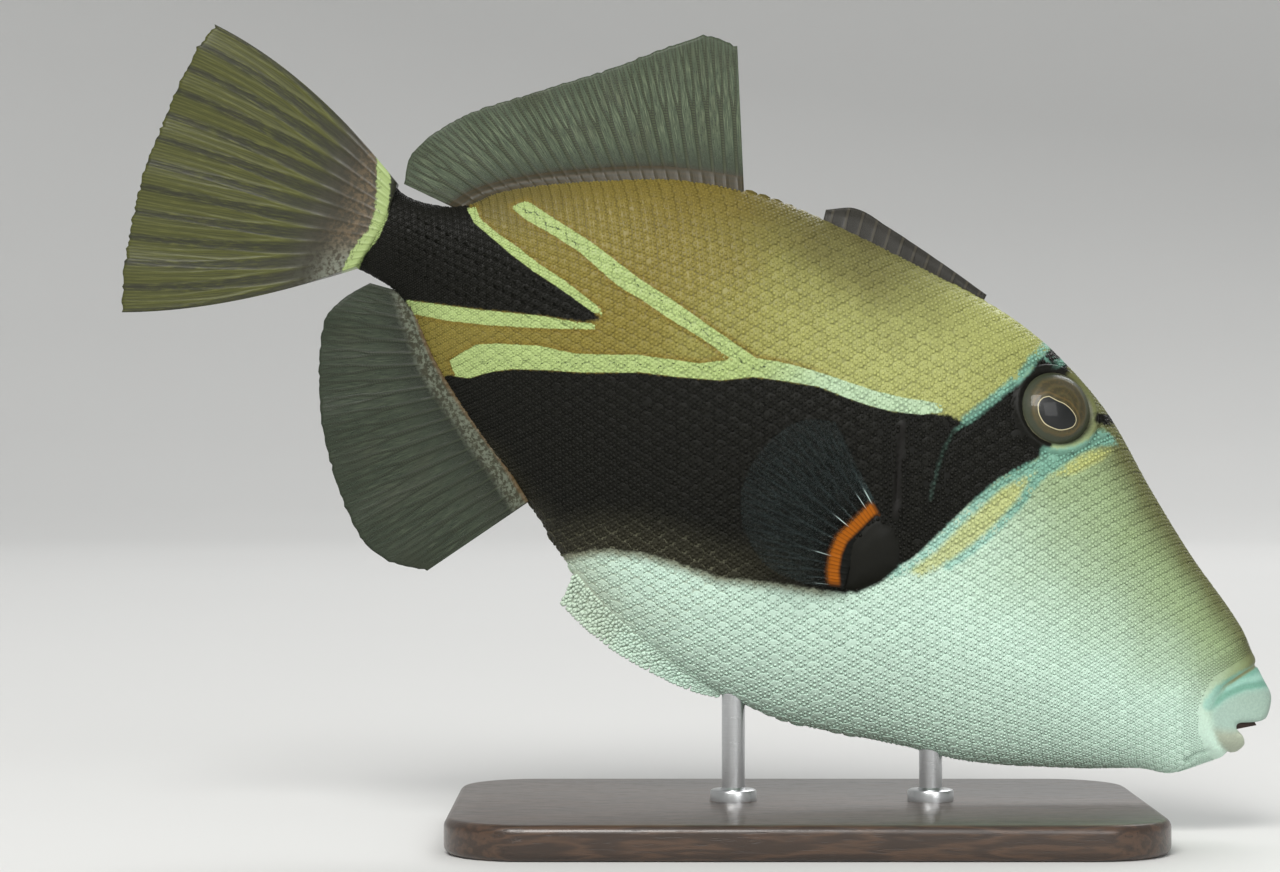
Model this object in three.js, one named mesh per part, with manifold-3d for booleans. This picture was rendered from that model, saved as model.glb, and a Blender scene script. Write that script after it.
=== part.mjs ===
// A wedge-tail triggerfish, life size and swimming head down, held over a flat base by two short rods.
// Millimetres, +Z up. The origin is the centre of the base's underside, and the head points along +X.
// The fish is drawn in its own frame: u runs from snout to tail, v up to the back, and w to its left.

import * as THREE from "three";
import { mergeVertices } from "three/addons/utils/BufferGeometryUtils.js";
import Module from "manifold-3d";

const wasm = await Module();
wasm.setup();

// Driving dimensions
const BODY_LENGTH = 178.4;
const NOSE_DOWN = THREE.MathUtils.degToRad(28.3);
const SNOUT_AHEAD = 81.4;
const SNOUT_HEIGHT = 22.1;
const GAP = 0.3;
const NOSE_ROUND = 1.7;
const TAIL_ROUND = 2.4;

const EYE_AT = { u: 58, v: 27.4 };
const EYE_RADIUS = 7.1;
const EYE_DEPTH = 4.6;
const EYE_SUNK = 2.7;
const LID_THICKNESS = 0.8;

const RAY_FOOT = 0.24;
const MEMBRANE = 0.27;
const SPINE_SIDES = 8;

const BASE_LENGTH = 120;
const BASE_DEPTH = 80;
const BASE_HEIGHT = 6;
const BASE_CORNER = 14;
const BASE_BEVEL = 1.5;
const ROD_RADIUS = 2;
const COLLAR_RADIUS = 4;
const COLLAR_HEIGHT = 2;
const RODS = { stand_rod_front: 22.5, stand_rod_rear: -11.5 };

// A smooth line through [x, y] stations, as a function of x
function lineThrough(points) {
  const slopes = points.map((point, i) => {
    const before = points[Math.max(i - 1, 0)];
    const after = points[Math.min(i + 1, points.length - 1)];
    return (after[1] - before[1]) / (after[0] - before[0]);
  });
  return (x) => {
    let i = 0;
    while (i < points.length - 2 && x > points[i + 1][0]) i++;
    const [x0, y0] = points[i];
    const [x1, y1] = points[i + 1];
    const span = x1 - x0;
    const t = THREE.MathUtils.clamp((x - x0) / span, 0, 1);
    const rise = t * t * (3 - 2 * t);
    const lift = t * (1 - t) * (1 - t) * slopes[i] - t * t * (1 - t) * slopes[i + 1];
    return y0 + (y1 - y0) * rise + span * lift;
  };
}

// The body's outline and width along its length, as [u, v] or [u, w] stations
const backLine = lineThrough([
  [0, 1.3], [2.4, 2.7], [6, 5.2], [11.4, 9.8], [24.9, 16.6], [36.3, 23.2], [49.1, 31.2], [61.7, 36],
  [72, 38], [85, 38.3], [107, 37.6], [121, 35.8], [133.4, 31.8], [142.8, 26.7], [153.4, 20], [159.9, 14.8],
  [163.5, 10.4], [168, 8], [173.5, 7], [BODY_LENGTH, 8.6],
]);
const bellyLine = lineThrough([
  [0, -8.2], [1.6, -9.6], [3.6, -11.3], [5.1, -13.5], [9.7, -18.4], [15.1, -20.4], [24, -25.2],
  [41.2, -33.2], [53.1, -36.5], [72.4, -42.2], [84, -43.4], [94, -43.2], [104, -41.6], [112, -39.4],
  [120.7, -35.3], [131.5, -29], [142.3, -24], [154.7, -17.1], [164.8, -9.6], [170, -8.4],
  [BODY_LENGTH, -8.6],
]);
const middleLine = lineThrough([[0, -4], [12, -4], [40, -1], [80, 0], [120, 1], [BODY_LENGTH, 0]]);
const halfWidth = lineThrough([
  [0, 4.4], [5, 5.6], [14, 7.4], [30, 10.4], [45, 12.6], [58, 14], [76, 16], [92, 16], [112, 13.8],
  [132, 10.2], [150, 6.8], [163, 4.8], [172, 3.9], [BODY_LENGTH, 3.1],
]);
const backPinch = lineThrough([
  [0, 0.9], [30, 0.85], [58, 0.78], [80, 1.05], [110, 1.3], [BODY_LENGTH, 1.1],
]);
const bellyPinch = lineThrough([[0, 0.9], [30, 1.05], [70, 1.25], [110, 1.35], [BODY_LENGTH, 1.1]]);

// Both ends are rounded off: the share of the full section that is left at u
function roundOff(u) {
  const nose = Math.max(1 - u / NOSE_ROUND, 0);
  const tail = Math.max(1 - (BODY_LENGTH - u) / TAIL_ROUND, 0);
  return Math.sqrt(Math.max(1 - nose * nose, 0)) * Math.sqrt(Math.max(1 - tail * tail, 0));
}

// A point of the body's skin: angle 0 is the left flank, a quarter turn the back, and grow swells the body
function skinPoint(u, angle, grow) {
  const round = roundOff(u);
  const rise = Math.sin(angle);
  const side = Math.cos(angle);
  const edge = rise > 0 ? backLine(u) : bellyLine(u);
  const reach = Math.abs(edge - middleLine(u)) * round + grow;
  const pinch = rise > 0 ? backPinch(u) : bellyPinch(u);
  const width = (halfWidth(u) * round + grow) * Math.abs(side) ** pinch;
  return new THREE.Vector3(-u, Math.sign(side) * width, middleLine(u) + reach * rise);
}

// How far the flank stands out from the middle plane at a point of the side view
function flankAt(u, v) {
  const edge = v > middleLine(u) ? backLine(u) : bellyLine(u);
  const rise = THREE.MathUtils.clamp((v - middleLine(u)) / (edge - middleLine(u)), 0, 1);
  return skinPoint(u, Math.asin(rise) * (v > middleLine(u) ? 1 : -1), 0).y;
}

// The way the left flank faces at a point of the side view
function flankNormal(u, v) {
  const step = 1.5;
  const tailward = (flankAt(u + step, v) - flankAt(u - step, v)) / (2 * step);
  const upward = (flankAt(u, v + step) - flankAt(u, v - step)) / (2 * step);
  return new THREE.Vector3(tailward, 1, -upward).normalize();
}

// A closed geometry as a solid that can be joined and cut
function solidOf(geometry) {
  const bare = geometry.index ? geometry.toNonIndexed() : geometry.clone();
  bare.deleteAttribute("normal");
  bare.deleteAttribute("uv");
  const merged = mergeVertices(bare, 1e-3);
  const mesh = new wasm.Mesh({
    numProp: 3,
    vertProperties: new Float32Array(merged.attributes.position.array),
    triVerts: new Uint32Array(merged.index.array),
  });
  return new wasm.Manifold(mesh);
}

// The largest piece of a solid
function mainPiece(solid) {
  return solid.decompose().sort((a, b) => b.volume() - a.volume())[0];
}

function geometryOf(solid) {
  const mesh = solid.getMesh();
  const geometry = new THREE.BufferGeometry();
  geometry.setAttribute("position", new THREE.BufferAttribute(new Float32Array(mesh.vertProperties), 3));
  geometry.setIndex(new THREE.BufferAttribute(new Uint32Array(mesh.triVerts), 1));
  geometry.computeVertexNormals();
  return geometry;
}

// The whole body from snout to tail, swollen by grow: a sphere's rings spread along the fish
function bodySolid(grow, rings = 54, around = 24) {
  const ball = new THREE.SphereGeometry(1, around, rings);
  const at = ball.attributes.position;
  const ends = 0.8;
  for (let i = 0; i < at.count; i++) {
    const turn = THREE.MathUtils.clamp(at.getY(i), -1, 1);
    const share = Math.acos(turn) / Math.PI;
    const along = THREE.MathUtils.lerp(share, (1 - turn) / 2, ends);
    const angle = Math.atan2(at.getZ(i), -at.getX(i));
    const stretch = 1 + (2 * grow) / BODY_LENGTH;
    const skin = skinPoint(along * BODY_LENGTH, angle, grow * Math.sin(share * Math.PI) ** 0.25);
    at.setXYZ(i, (skin.x + BODY_LENGTH / 2) * stretch - BODY_LENGTH / 2, skin.y, skin.z);
  }
  return solidOf(ball);
}

// A slab of even thickness across the whole body that follows a line of [u, v] points
function slab(points, thickness = GAP, halfDepth = 40) {
  const half = thickness / 2;
  const line = points.map(([u, v]) => new THREE.Vector2(-u, v));
  const edges = [half, -half].map((offset) => line.map((point, i) => {
    const before = line[Math.max(i - 1, 0)];
    const after = line[Math.min(i + 1, line.length - 1)];
    const along = after.clone().sub(before).normalize();
    return new THREE.Vector2(point.x - along.y * offset, point.y + along.x * offset);
  }));
  return plate([...edges[0], ...edges[1].reverse()], halfDepth);
}

// A flat outline in the side view, given as vectors, carried from one side of the fish to the other
function plate(outline, halfDepth) {
  const shape = new THREE.Shape(outline);
  const geometry = new THREE.ExtrudeGeometry(shape, { depth: 2 * halfDepth, bevelEnabled: false });
  geometry.translate(0, 0, -halfDepth);
  geometry.rotateX(Math.PI / 2);
  return solidOf(geometry);
}

// An oval ball, turned and placed, for eyes, sockets and slits
function oval(radii, place, turn) {
  const ball = new THREE.SphereGeometry(1, 18, 12);
  ball.scale(radii.x, radii.y, radii.z);
  ball.applyQuaternion(turn);
  ball.translate(place.x, place.y, place.z);
  return solidOf(ball);
}

// The place and lean of the eye on one side: 1 is the left side and -1 the right
function eyeSeat(side) {
  const out = flankNormal(EYE_AT.u, EYE_AT.v);
  out.y *= side;
  const place = new THREE.Vector3(-EYE_AT.u, side * flankAt(EYE_AT.u, EYE_AT.v), EYE_AT.v);
  place.addScaledVector(out, -EYE_SUNK);
  const turn = new THREE.Quaternion().setFromUnitVectors(new THREE.Vector3(0, side, 0), out);
  return { place, turn, out };
}

function eyeSolid(side, grow) {
  const { place, turn } = eyeSeat(side);
  return oval(new THREE.Vector3(EYE_RADIUS + grow, EYE_DEPTH + grow, EYE_RADIUS + grow), place, turn);
}

// The raised rim of skin round one eye
function lidSolid(side) {
  const { place, turn, out } = eyeSeat(side);
  const rim = new THREE.TorusGeometry(EYE_RADIUS + LID_THICKNESS / 2, LID_THICKNESS, 6, 22);
  rim.rotateX(Math.PI / 2);
  rim.applyQuaternion(turn);
  const seat = place.clone().addScaledVector(out, EYE_SUNK - LID_THICKNESS);
  rim.translate(seat.x, seat.y, seat.z);
  return solidOf(rim);
}

// A fin as a closed blade of rows and columns, with each ray a ridge in both faces.
// base and tip are lines of [u, v] points, or [u, v, w], and bow bends each ray between them.
function bladeSolid(fin) {
  const base = smoothLine(fin.base);
  const tip = smoothLine(fin.tip);
  const columns = [{ at: 0, part: "edge" }];
  for (let ray = 0; ray < fin.rays; ray++) {
    const parts = fin.ridge ? { foot: -RAY_FOOT, crest: 0, farFoot: RAY_FOOT } : { crest: 0 };
    for (const [part, offset] of Object.entries(parts)) {
      columns.push({ at: (ray + 0.5 + offset) / fin.rays, part });
    }
  }
  columns.push({ at: 1, part: "edge" });
  const faces = [1, -1].map((face) => columns.map(({ at, part }) => {
    const root = base.getPointAt(at);
    const end = tip.getPointAt(at);
    return Array.from({ length: fin.rows + 1 }, (unused, row) => {
      const along = row / fin.rows;
      const point = root.clone().lerp(end, along);
      const [bowU, bowV] = fin.bow ? fin.bow(at) : [0, 0];
      point.x -= 4 * along * (1 - along) * bowU;
      point.z += 4 * along * (1 - along) * bowV;
      point.y += face * bladeHalf(fin, part, along);
      return point;
    });
  }));
  const solid = solidOf(gridGeometry(faces));
  return solid.volume() > 0 ? solid : solidOf(gridGeometry(faces.reverse()));
}

function smoothLine(points) {
  return new THREE.CatmullRomCurve3(points.map(([u, v, w = 0]) => new THREE.Vector3(-u, w, v)));
}

// A stiff spine from root to tip, both given as { u, v, radius } in the middle plane
function spineSolid(root, tip) {
  const start = new THREE.Vector3(-root.u, 0, root.v);
  const reach = new THREE.Vector3(-tip.u, 0, tip.v).sub(start);
  const spine = new THREE.CylinderGeometry(tip.radius, root.radius, reach.length(), SPINE_SIDES);
  spine.translate(0, reach.length() / 2, 0);
  const up = new THREE.Vector3(0, 1, 0);
  spine.applyQuaternion(new THREE.Quaternion().setFromUnitVectors(up, reach.normalize()));
  spine.translate(start.x, start.y, start.z);
  return solidOf(spine);
}

// Half the blade's thickness at a share of the way out, on a ray's crest, on its feet or at the edges
// A forked ray sinks its crest and raises both feet towards the tip.
function bladeHalf(fin, part, along) {
  const fleshy = Math.max(1 - along / fin.fleshShare, 0) ** 2 * fin.flesh;
  const fork = fin.forked ? THREE.MathUtils.smoothstep(along, 0.35, 0.6) : 0;
  const raised = { edge: 0.5, crest: 1 - fork, foot: fork, farFoot: fork }[part];
  return MEMBRANE + fleshy + raised * (fin.ridge || 0) * (1 - 0.6 * along);
}

// Two like grids of points, one for each face, closed along all four edges
function gridGeometry([front, back]) {
  const triangles = [];
  const quad = (a, b, c, d) => triangles.push(a, b, c, a, c, d);
  const lastColumn = front.length - 1;
  const lastRow = front[0].length - 1;
  for (let i = 0; i < lastColumn; i++) {
    for (let j = 0; j < lastRow; j++) {
      quad(front[i][j], front[i][j + 1], front[i + 1][j + 1], front[i + 1][j]);
      triangles.push(back[i][j], back[i + 1][j + 1], back[i][j + 1]);
      triangles.push(back[i][j], back[i + 1][j], back[i + 1][j + 1]);
    }
    quad(front[i][0], front[i + 1][0], back[i + 1][0], back[i][0]);
    quad(front[i][lastRow], back[i][lastRow], back[i + 1][lastRow], front[i + 1][lastRow]);
  }
  for (let j = 0; j < lastRow; j++) {
    quad(front[0][j], back[0][j], back[0][j + 1], front[0][j + 1]);
    quad(front[lastColumn][j], front[lastColumn][j + 1], back[lastColumn][j + 1], back[lastColumn][j]);
  }
  return new THREE.BufferGeometry().setFromPoints(triangles);
}

const secondDorsal = {
  base: [[121.8, 34.2], [133.4, 30], [142.8, 25], [153.4, 18.3], [159.9, 13], [162.6, 9]],
  tip: [
    [135.2, 56.6], [140.3, 55.9], [144.3, 52.3], [151.7, 43.9], [160.8, 34.4], [171.1, 23.6],
    [175.8, 13.8], [174.6, 8.4],
  ],
  rays: 24,
  rows: 4,
  ridge: 0.34,
  flesh: 0.9,
  fleshShare: 0.2,
};

const anal = {
  base: [[129.6, -29.6], [137, -25.4], [149, -19.6], [157, -14.6], [164.6, -7.8]],
  tip: [
    [139.4, -48.4], [145.3, -50], [151.5, -49.2], [162.1, -40.9], [170.1, -30.7], [175.4, -19.2],
    [174.4, -14], [171.6, -9.4],
  ],
  rays: 21,
  rows: 4,
  ridge: 0.34,
  flesh: 0.9,
  fleshShare: 0.25,
};

const caudal = {
  base: [[175.6, 8], [174.6, 4], [174.2, 0], [174.4, -4], [174.8, -8.1]],
  tip: [
    [216.3, 17.2], [217, 12], [216.4, -0.6], [214.4, -14.2], [210.4, -26.7], [207, -34.2],
  ],
  bow: (at) => [1 - at, 2.6 - 4.8 * at],
  rays: 12,
  rows: 7,
  ridge: 0.42,
  flesh: 0.9,
  fleshShare: 0.3,
  forked: true,
};

const firstDorsal = {
  base: [[77, 36.6], [86, 36.8], [98, 36.6], [107.6, 36]],
  tip: [[77, 39.2], [86.4, 40.4], [98, 41.5], [104, 41.6], [108.4, 39]],
  rays: 12,
  rows: 2,
  flesh: 1.1,
  fleshShare: 1.2,
};

// The three folded spines of the first dorsal fin, each hinged behind the one before
const FOLDED_SPINES = [
  [{ u: 77.4, v: 38, radius: 1.5 }, { u: 105.4, v: 41.2, radius: 0.7 }],
  [{ u: 90, v: 37.6, radius: 1 }, { u: 107.8, v: 39.6, radius: 0.5 }],
  [{ u: 100, v: 37, radius: 0.8 }, { u: 109.4, v: 38.4, radius: 0.4 }],
];

const pelvicFlap = {
  base: [[84, -41], [94, -41.2], [104, -39.6], [112, -37.4], [117, -35.4]],
  tip: [[84.4, -44], [90.9, -45.2], [102.8, -45.4], [110.1, -44.3], [116.4, -42.2]],
  rays: 16,
  rows: 3,
  flesh: 1.3,
  fleshShare: 1.2,
};

// The pectoral fin fans out from the flank, behind the gill slit, on the side given as 1 or -1
function pectoral(side) {
  const root = flankAt(76, -10);
  const out = (points, lift) => points.map(([u, v]) => [u, v, side * (root + lift(u))]);
  return {
    base: out([[75.4, -3.4], [76.6, -7], [76.8, -11], [75.8, -17]], () => -1.6),
    tip: out([
      [90.6, 7], [95.4, 4.8], [98.8, -0.9], [99.4, -9], [96.3, -15.3], [89.7, -19.5], [82.2, -19.4],
    ], (u) => 0.4 * (u - 76)),
    rays: 13,
    rows: 5,
    ridge: 0.3,
    flesh: 1.1,
    fleshShare: 0.3,
    forked: true,
  };
}

// The cuts that part the body: behind the gills, before the tail stalk and round the lips
const GILL_LINE = [[69, 50], [74, 34], [79, 20], [79.6, 11.4], [73.8, -2.2], [66, -20], [60, -50]];
const STALK_LINE = [[166.4, 24], [165.8, 0], [166.2, -24]];
const LIP_LINE = [
  [3.6, 10], [5.9, 5.3], [8, 2.4], [9.8, -0.6], [10.3, -3.4], [9.8, -5.9], [8.2, -8.2], [6.1, -9.8],
  [3.4, -10.7], [-2, -12.4],
];
const MOUTH = [
  [-4, -0.8], [-0.2, -2.1], [2.4, -4], [5.4, -5.7], [10.6, -6.2], [10.6, -6.5], [5.4, -6], [2.9, -6.7],
  [2, -7.2], [1.5, -8.2], [1.8, -9.2], [-4, -12],
];

// The short crescent of the gill opening, cut into the flank along the head's rear edge
function gillSlit(side) {
  const place = new THREE.Vector3(-77.2, side * (flankAt(77, 5) - 0.2), 5.2);
  const lean = Math.atan2(79.6 - 73.8, 11.4 + 2.2);
  const turn = new THREE.Quaternion().setFromAxisAngle(new THREE.Vector3(0, 1, 0), -lean);
  return oval(new THREE.Vector3(0.7, 1.5, 7.2), place, turn);
}

// Two small pits ahead of each eye
function nostrils(side) {
  return [[50.2, 29.4], [48.9, 27.6]].map(([u, v]) => {
    const place = new THREE.Vector3(-u, side * flankAt(u, v), v);
    return oval(new THREE.Vector3(0.8, 1.2, 0.8), place, new THREE.Quaternion());
  });
}

function cutAll(solid, cutters) {
  return cutters.reduce((left, cutter) => left.subtract(cutter), solid);
}

// The body with its lids, sockets, slits and nostrils, parted into its nodes from snout to tail
function fleshNodes() {
  const sides = [1, -1];
  const lidded = sides.reduce((body, side) => body.add(lidSolid(side)), bodySolid(0));
  const mouth = plate(MOUTH.map(([u, v]) => new THREE.Vector2(-u, v)), 40);
  const openings = sides.flatMap((side) => [eyeSolid(side, GAP), gillSlit(side), ...nostrils(side)]);
  const cuts = [slab(GILL_LINE), slab(STALK_LINE), slab(LIP_LINE), mouth];
  const pieces = cutAll(lidded, [...openings, ...cuts]).decompose();
  const large = pieces.sort((a, b) => b.volume() - a.volume()).slice(0, 5);
  const reach = (piece) => piece.boundingBox().min[0];
  const [stalk, trunk, head, lipA, lipB] = large.sort((a, b) => reach(a) - reach(b));
  const lips = [lipA, lipB].sort((a, b) => b.boundingBox().max[2] - a.boundingBox().max[2]);
  return { head, trunk, tail_stalk: stalk, upper_lip: lips[0], lower_lip: lips[1] };
}

// The turn and place that carry the fish's own frame into the part's frame
function fishPose() {
  const turn = new THREE.Quaternion().setFromAxisAngle(new THREE.Vector3(0, 1, 0), NOSE_DOWN);
  return { turn, place: new THREE.Vector3(SNOUT_AHEAD, 0, SNOUT_HEIGHT) };
}

function standBase() {
  const length = BASE_LENGTH / 2 - BASE_BEVEL;
  const depth = BASE_DEPTH / 2 - BASE_BEVEL;
  const corner = BASE_CORNER - BASE_BEVEL;
  const outline = new THREE.Shape();
  outline.absarc(length - corner, depth - corner, corner, 0, Math.PI / 2);
  outline.absarc(corner - length, depth - corner, corner, Math.PI / 2, Math.PI);
  outline.absarc(corner - length, corner - depth, corner, Math.PI, Math.PI * 1.5);
  outline.absarc(length - corner, corner - depth, corner, Math.PI * 1.5, Math.PI * 2);
  const geometry = new THREE.ExtrudeGeometry(outline, {
    depth: BASE_HEIGHT - 2 * BASE_BEVEL,
    bevelThickness: BASE_BEVEL,
    bevelSize: BASE_BEVEL,
    bevelSegments: 2,
    curveSegments: 6,
  });
  geometry.translate(0, 0, BASE_BEVEL);
  return geometry;
}

// A rod with a collar at its foot, cut off just clear of the belly
function standRod(x, fleshInPart) {
  const foot = BASE_HEIGHT + GAP;
  const profile = [
    [0, foot], [COLLAR_RADIUS, foot], [COLLAR_RADIUS, foot + COLLAR_HEIGHT - 0.6],
    [COLLAR_RADIUS - 0.6, foot + COLLAR_HEIGHT], [ROD_RADIUS, foot + COLLAR_HEIGHT],
    [ROD_RADIUS, 60], [0, 60],
  ];
  const lathe = new THREE.LatheGeometry(profile.map(([radius, z]) => new THREE.Vector2(radius, z)), 20);
  lathe.rotateX(Math.PI / 2);
  lathe.translate(x, 0, 0);
  const pieces = solidOf(lathe).subtract(fleshInPart).decompose();
  return pieces.sort((a, b) => a.boundingBox().min[2] - b.boundingBox().min[2])[0];
}

const finishes = {
  skin: { color: 0x8f8a5a, roughness: 0.45, metalness: 0 },
  lip: { color: 0x9a8f6a, roughness: 0.45, metalness: 0 },
  fin: { color: 0x8d9078, roughness: 0.4, metalness: 0 },
  darkFin: { color: 0x3f3c34, roughness: 0.5, metalness: 0 },
  eye: { color: 0x3a2a18, roughness: 0.1, metalness: 0 },
  base: { color: 0x3d281c, roughness: 0.45, metalness: 0 },
  rod: { color: 0xb8babd, roughness: 0.3, metalness: 1 },
};

function meshOf(name, geometry, finish) {
  const mesh = new THREE.Mesh(geometry, new THREE.MeshStandardMaterial(finishes[finish]));
  mesh.name = name;
  return mesh;
}

function buildFish() {
  const fish = new THREE.Group();
  const { turn, place } = fishPose();
  fish.quaternion.copy(turn);
  fish.position.copy(place);
  const flesh = fleshNodes();
  for (const [name, solid] of Object.entries(flesh)) {
    fish.add(meshOf(name, geometryOf(mainPiece(solid)), name.endsWith("lip") ? "lip" : "skin"));
  }
  const clear = bodySolid(GAP);
  const folded = FOLDED_SPINES.map(([root, tip]) => spineSolid(root, tip));
  const fins = {
    first_dorsal_fin: folded.reduce((fin, spine) => fin.add(spine), bladeSolid(firstDorsal)),
    second_dorsal_fin: bladeSolid(secondDorsal),
    anal_fin: bladeSolid(anal),
    caudal_fin: bladeSolid(caudal),
    pelvic_flap: bladeSolid(pelvicFlap),
    pectoral_fin_left: bladeSolid(pectoral(1)),
    pectoral_fin_right: bladeSolid(pectoral(-1)),
  };
  for (const [name, fin] of Object.entries(fins)) {
    const solid = mainPiece(fin.subtract(clear));
    fish.add(meshOf(name, geometryOf(solid), name === "first_dorsal_fin" ? "darkFin" : "fin"));
  }
  for (const [name, side] of [["eye_left", 1], ["eye_right", -1]]) {
    fish.add(meshOf(name, geometryOf(eyeSolid(side, 0)), "eye"));
  }
  return fish;
}

function buildStand() {
  const stand = new THREE.Group();
  const { turn, place } = fishPose();
  const clear = geometryOf(bodySolid(GAP));
  clear.applyQuaternion(turn);
  clear.translate(place.x, place.y, place.z);
  stand.add(meshOf("stand_base", standBase(), "base"));
  for (const [name, x] of Object.entries(RODS)) {
    stand.add(meshOf(name, geometryOf(standRod(x, solidOf(clear))), "rod"));
  }
  return stand;
}

const triggerfish = new THREE.Group();
triggerfish.add(buildFish(), buildStand());

export default triggerfish;
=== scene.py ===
"""A wedge-tail triggerfish, life size and swimming head down on a display stand.

The fish is drawn in its own frame, in millimetres: u runs from the snout to the tail, v up to the
back and w to its left. Pose carries that frame into the part's frame, in metres.
"""

import logging
import math
from dataclasses import dataclass
from enum import Enum
from typing import Sequence, TypeAlias

import bmesh
import bpy
import numpy as np
from mathutils import Matrix, Vector


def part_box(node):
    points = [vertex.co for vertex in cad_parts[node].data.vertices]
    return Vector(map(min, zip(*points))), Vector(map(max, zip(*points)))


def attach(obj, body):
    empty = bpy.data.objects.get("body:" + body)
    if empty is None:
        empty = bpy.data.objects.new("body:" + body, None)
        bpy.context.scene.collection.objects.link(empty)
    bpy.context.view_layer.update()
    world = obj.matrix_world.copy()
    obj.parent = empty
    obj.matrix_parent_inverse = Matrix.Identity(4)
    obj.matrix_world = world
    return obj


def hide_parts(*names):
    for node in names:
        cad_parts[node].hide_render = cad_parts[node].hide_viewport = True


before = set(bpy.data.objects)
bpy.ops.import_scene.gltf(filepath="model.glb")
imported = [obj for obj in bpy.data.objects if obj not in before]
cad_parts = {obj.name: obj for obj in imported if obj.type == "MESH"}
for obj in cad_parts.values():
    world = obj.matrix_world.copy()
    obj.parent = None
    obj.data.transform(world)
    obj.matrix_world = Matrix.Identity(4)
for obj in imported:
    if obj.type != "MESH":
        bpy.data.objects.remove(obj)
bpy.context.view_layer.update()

log = logging.getLogger("triggerfish")

Points = tuple[tuple[float, ...], ...]
Colour = tuple[float, float, float]
Array = np.ndarray
Piece = bpy.types.Object
Mesh = bpy.types.Mesh
Material = bpy.types.Material
Number: TypeAlias = "Signal | float"
Paint: TypeAlias = "Signal | Colour"
Input: TypeAlias = "Signal | float | Sequence[float]"

MM = 0.001
ROOT_BODY = "root"
BAKE_MAP = "OFBake"
BAKE_PATCH = 0.003
FULL_TURN = 2 * math.pi
MERGE = 1e-4
TINY = 1e-9
FAR = 9.0
DRAWN_POINTS = 400
LIPS_END = 11.0
FORK_LENGTH = 0.28
FISH_MIDDLE = (0.0, 0.0, 0.06)
BLEND = {"data_type": "RGBA", "clamp_factor": True}
TINT = {"data_type": "RGBA", "blend_type": "MULTIPLY"}


class Side(Enum):
    """The two flanks of the fish, as the sign of w."""

    LEFT = 1
    RIGHT = -1


# Shapes along lines

def line_through(points: Points, x: Array) -> Array:
    """Runs a smooth line through stations.

    Args:
        points: The stations as (x, y), in rising x.
        x: Where the line is read.

    Returns:
        The line's height at each x.
    """
    xs, ys = np.array(points, float).T
    order = np.arange(len(xs))
    ahead = np.minimum(order + 1, len(xs) - 1)
    behind = np.maximum(order - 1, 0)
    slopes = (ys[ahead] - ys[behind]) / (xs[ahead] - xs[behind])
    i = np.clip(np.searchsorted(xs, x, side="right") - 1, 0, len(xs) - 2)
    span = xs[i + 1] - xs[i]
    t = np.clip((x - xs[i]) / span, 0, 1)
    lift = t * (1 - t) ** 2 * slopes[i] - t * t * (1 - t) * slopes[i + 1]
    return ys[i] + (ys[i + 1] - ys[i]) * t * t * (3 - 2 * t) + span * lift


def path_through(points: Points, shares: Array) -> Array:
    """Runs a smooth path through points of the plane or of space.

    Args:
        points: The points, two or three numbers each.
        shares: Shares of the path's length, from 0 to 1.

    Returns:
        One row for each share.
    """
    knots = np.array(points, float)
    steps = np.linalg.norm(np.diff(knots, axis=0), axis=1)
    reach = np.concatenate([[0], np.cumsum(steps)])
    fine = np.linspace(0, reach[-1], DRAWN_POINTS)
    drawn = np.stack([line_through(tuple(zip(reach, column)), fine) for column in knots.T], axis=1)
    length = np.concatenate([[0], np.cumsum(np.linalg.norm(np.diff(drawn, axis=0), axis=1))])
    at = np.clip(shares, 0, 1) * length[-1]
    return np.stack([np.interp(at, length, column) for column in drawn.T], axis=1)


def smooth_step(x: Array, low: float, high: float) -> Array:
    """Rises smoothly from 0 at low to 1 at high."""
    t = np.clip((x - low) / (high - low), 0, 1)
    return t * t * (3 - 2 * t)


def bump(x: Array, width: float) -> Array:
    """A bell of height 1 round x = 0."""
    return np.exp(-((x / width) ** 2))


def unit(rows: Array) -> Array:
    """The rows, each brought to length 1."""
    return rows / np.maximum(np.linalg.norm(rows, axis=1, keepdims=True), TINY)


def line_distance(at: Array, line: Points) -> tuple[Array, Array, Array]:
    """Measures how far points lie from an open line in the side view.

    Args:
        at: Points as rows of (u, v).
        line: The line's corners as (u, v).

    Returns:
        The distance, the length along the line at its nearest point, and the side as a sign.
    """
    corners = np.array(line, float)
    best = np.full(len(at), np.inf)
    along = np.zeros(len(at))
    sign = np.ones(len(at))
    passed = 0.0
    for start, end in zip(corners[:-1], corners[1:]):
        reach = end - start
        length = float(np.hypot(*reach))
        offset = at - start
        t = np.clip(offset @ reach / length**2, 0, 1)
        away = offset - t[:, None] * reach
        distance = np.hypot(away[:, 0], away[:, 1])
        nearer = distance < best
        best = np.where(nearer, distance, best)
        along = np.where(nearer, passed + t * length, along)
        cross = reach[0] * offset[:, 1] - reach[1] * offset[:, 0]
        sign = np.where(nearer, np.where(cross < 0, -1.0, 1.0), sign)
        passed += length
    return best, along, sign


def area_distance(at: Array, outline: Points) -> Array:
    """Measures signed distances to a closed outline in the side view.

    Args:
        at: Points as rows of (u, v).
        outline: The corners as (u, v), in order.

    Returns:
        The distance to the edge, below zero inside.
    """
    closed = tuple(outline) + (outline[0],)
    distance = line_distance(at, closed)[0]
    inside = np.zeros(len(at), bool)
    for (u0, v0), (u1, v1) in zip(closed[:-1], closed[1:]):
        if v0 == v1:
            continue
        crosses = (at[:, 1] < v0) != (at[:, 1] < v1)
        inside ^= crosses & (at[:, 0] < u0 + (at[:, 1] - v0) * (u1 - u0) / (v1 - v0))
    return np.where(inside, -distance, distance)


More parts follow.
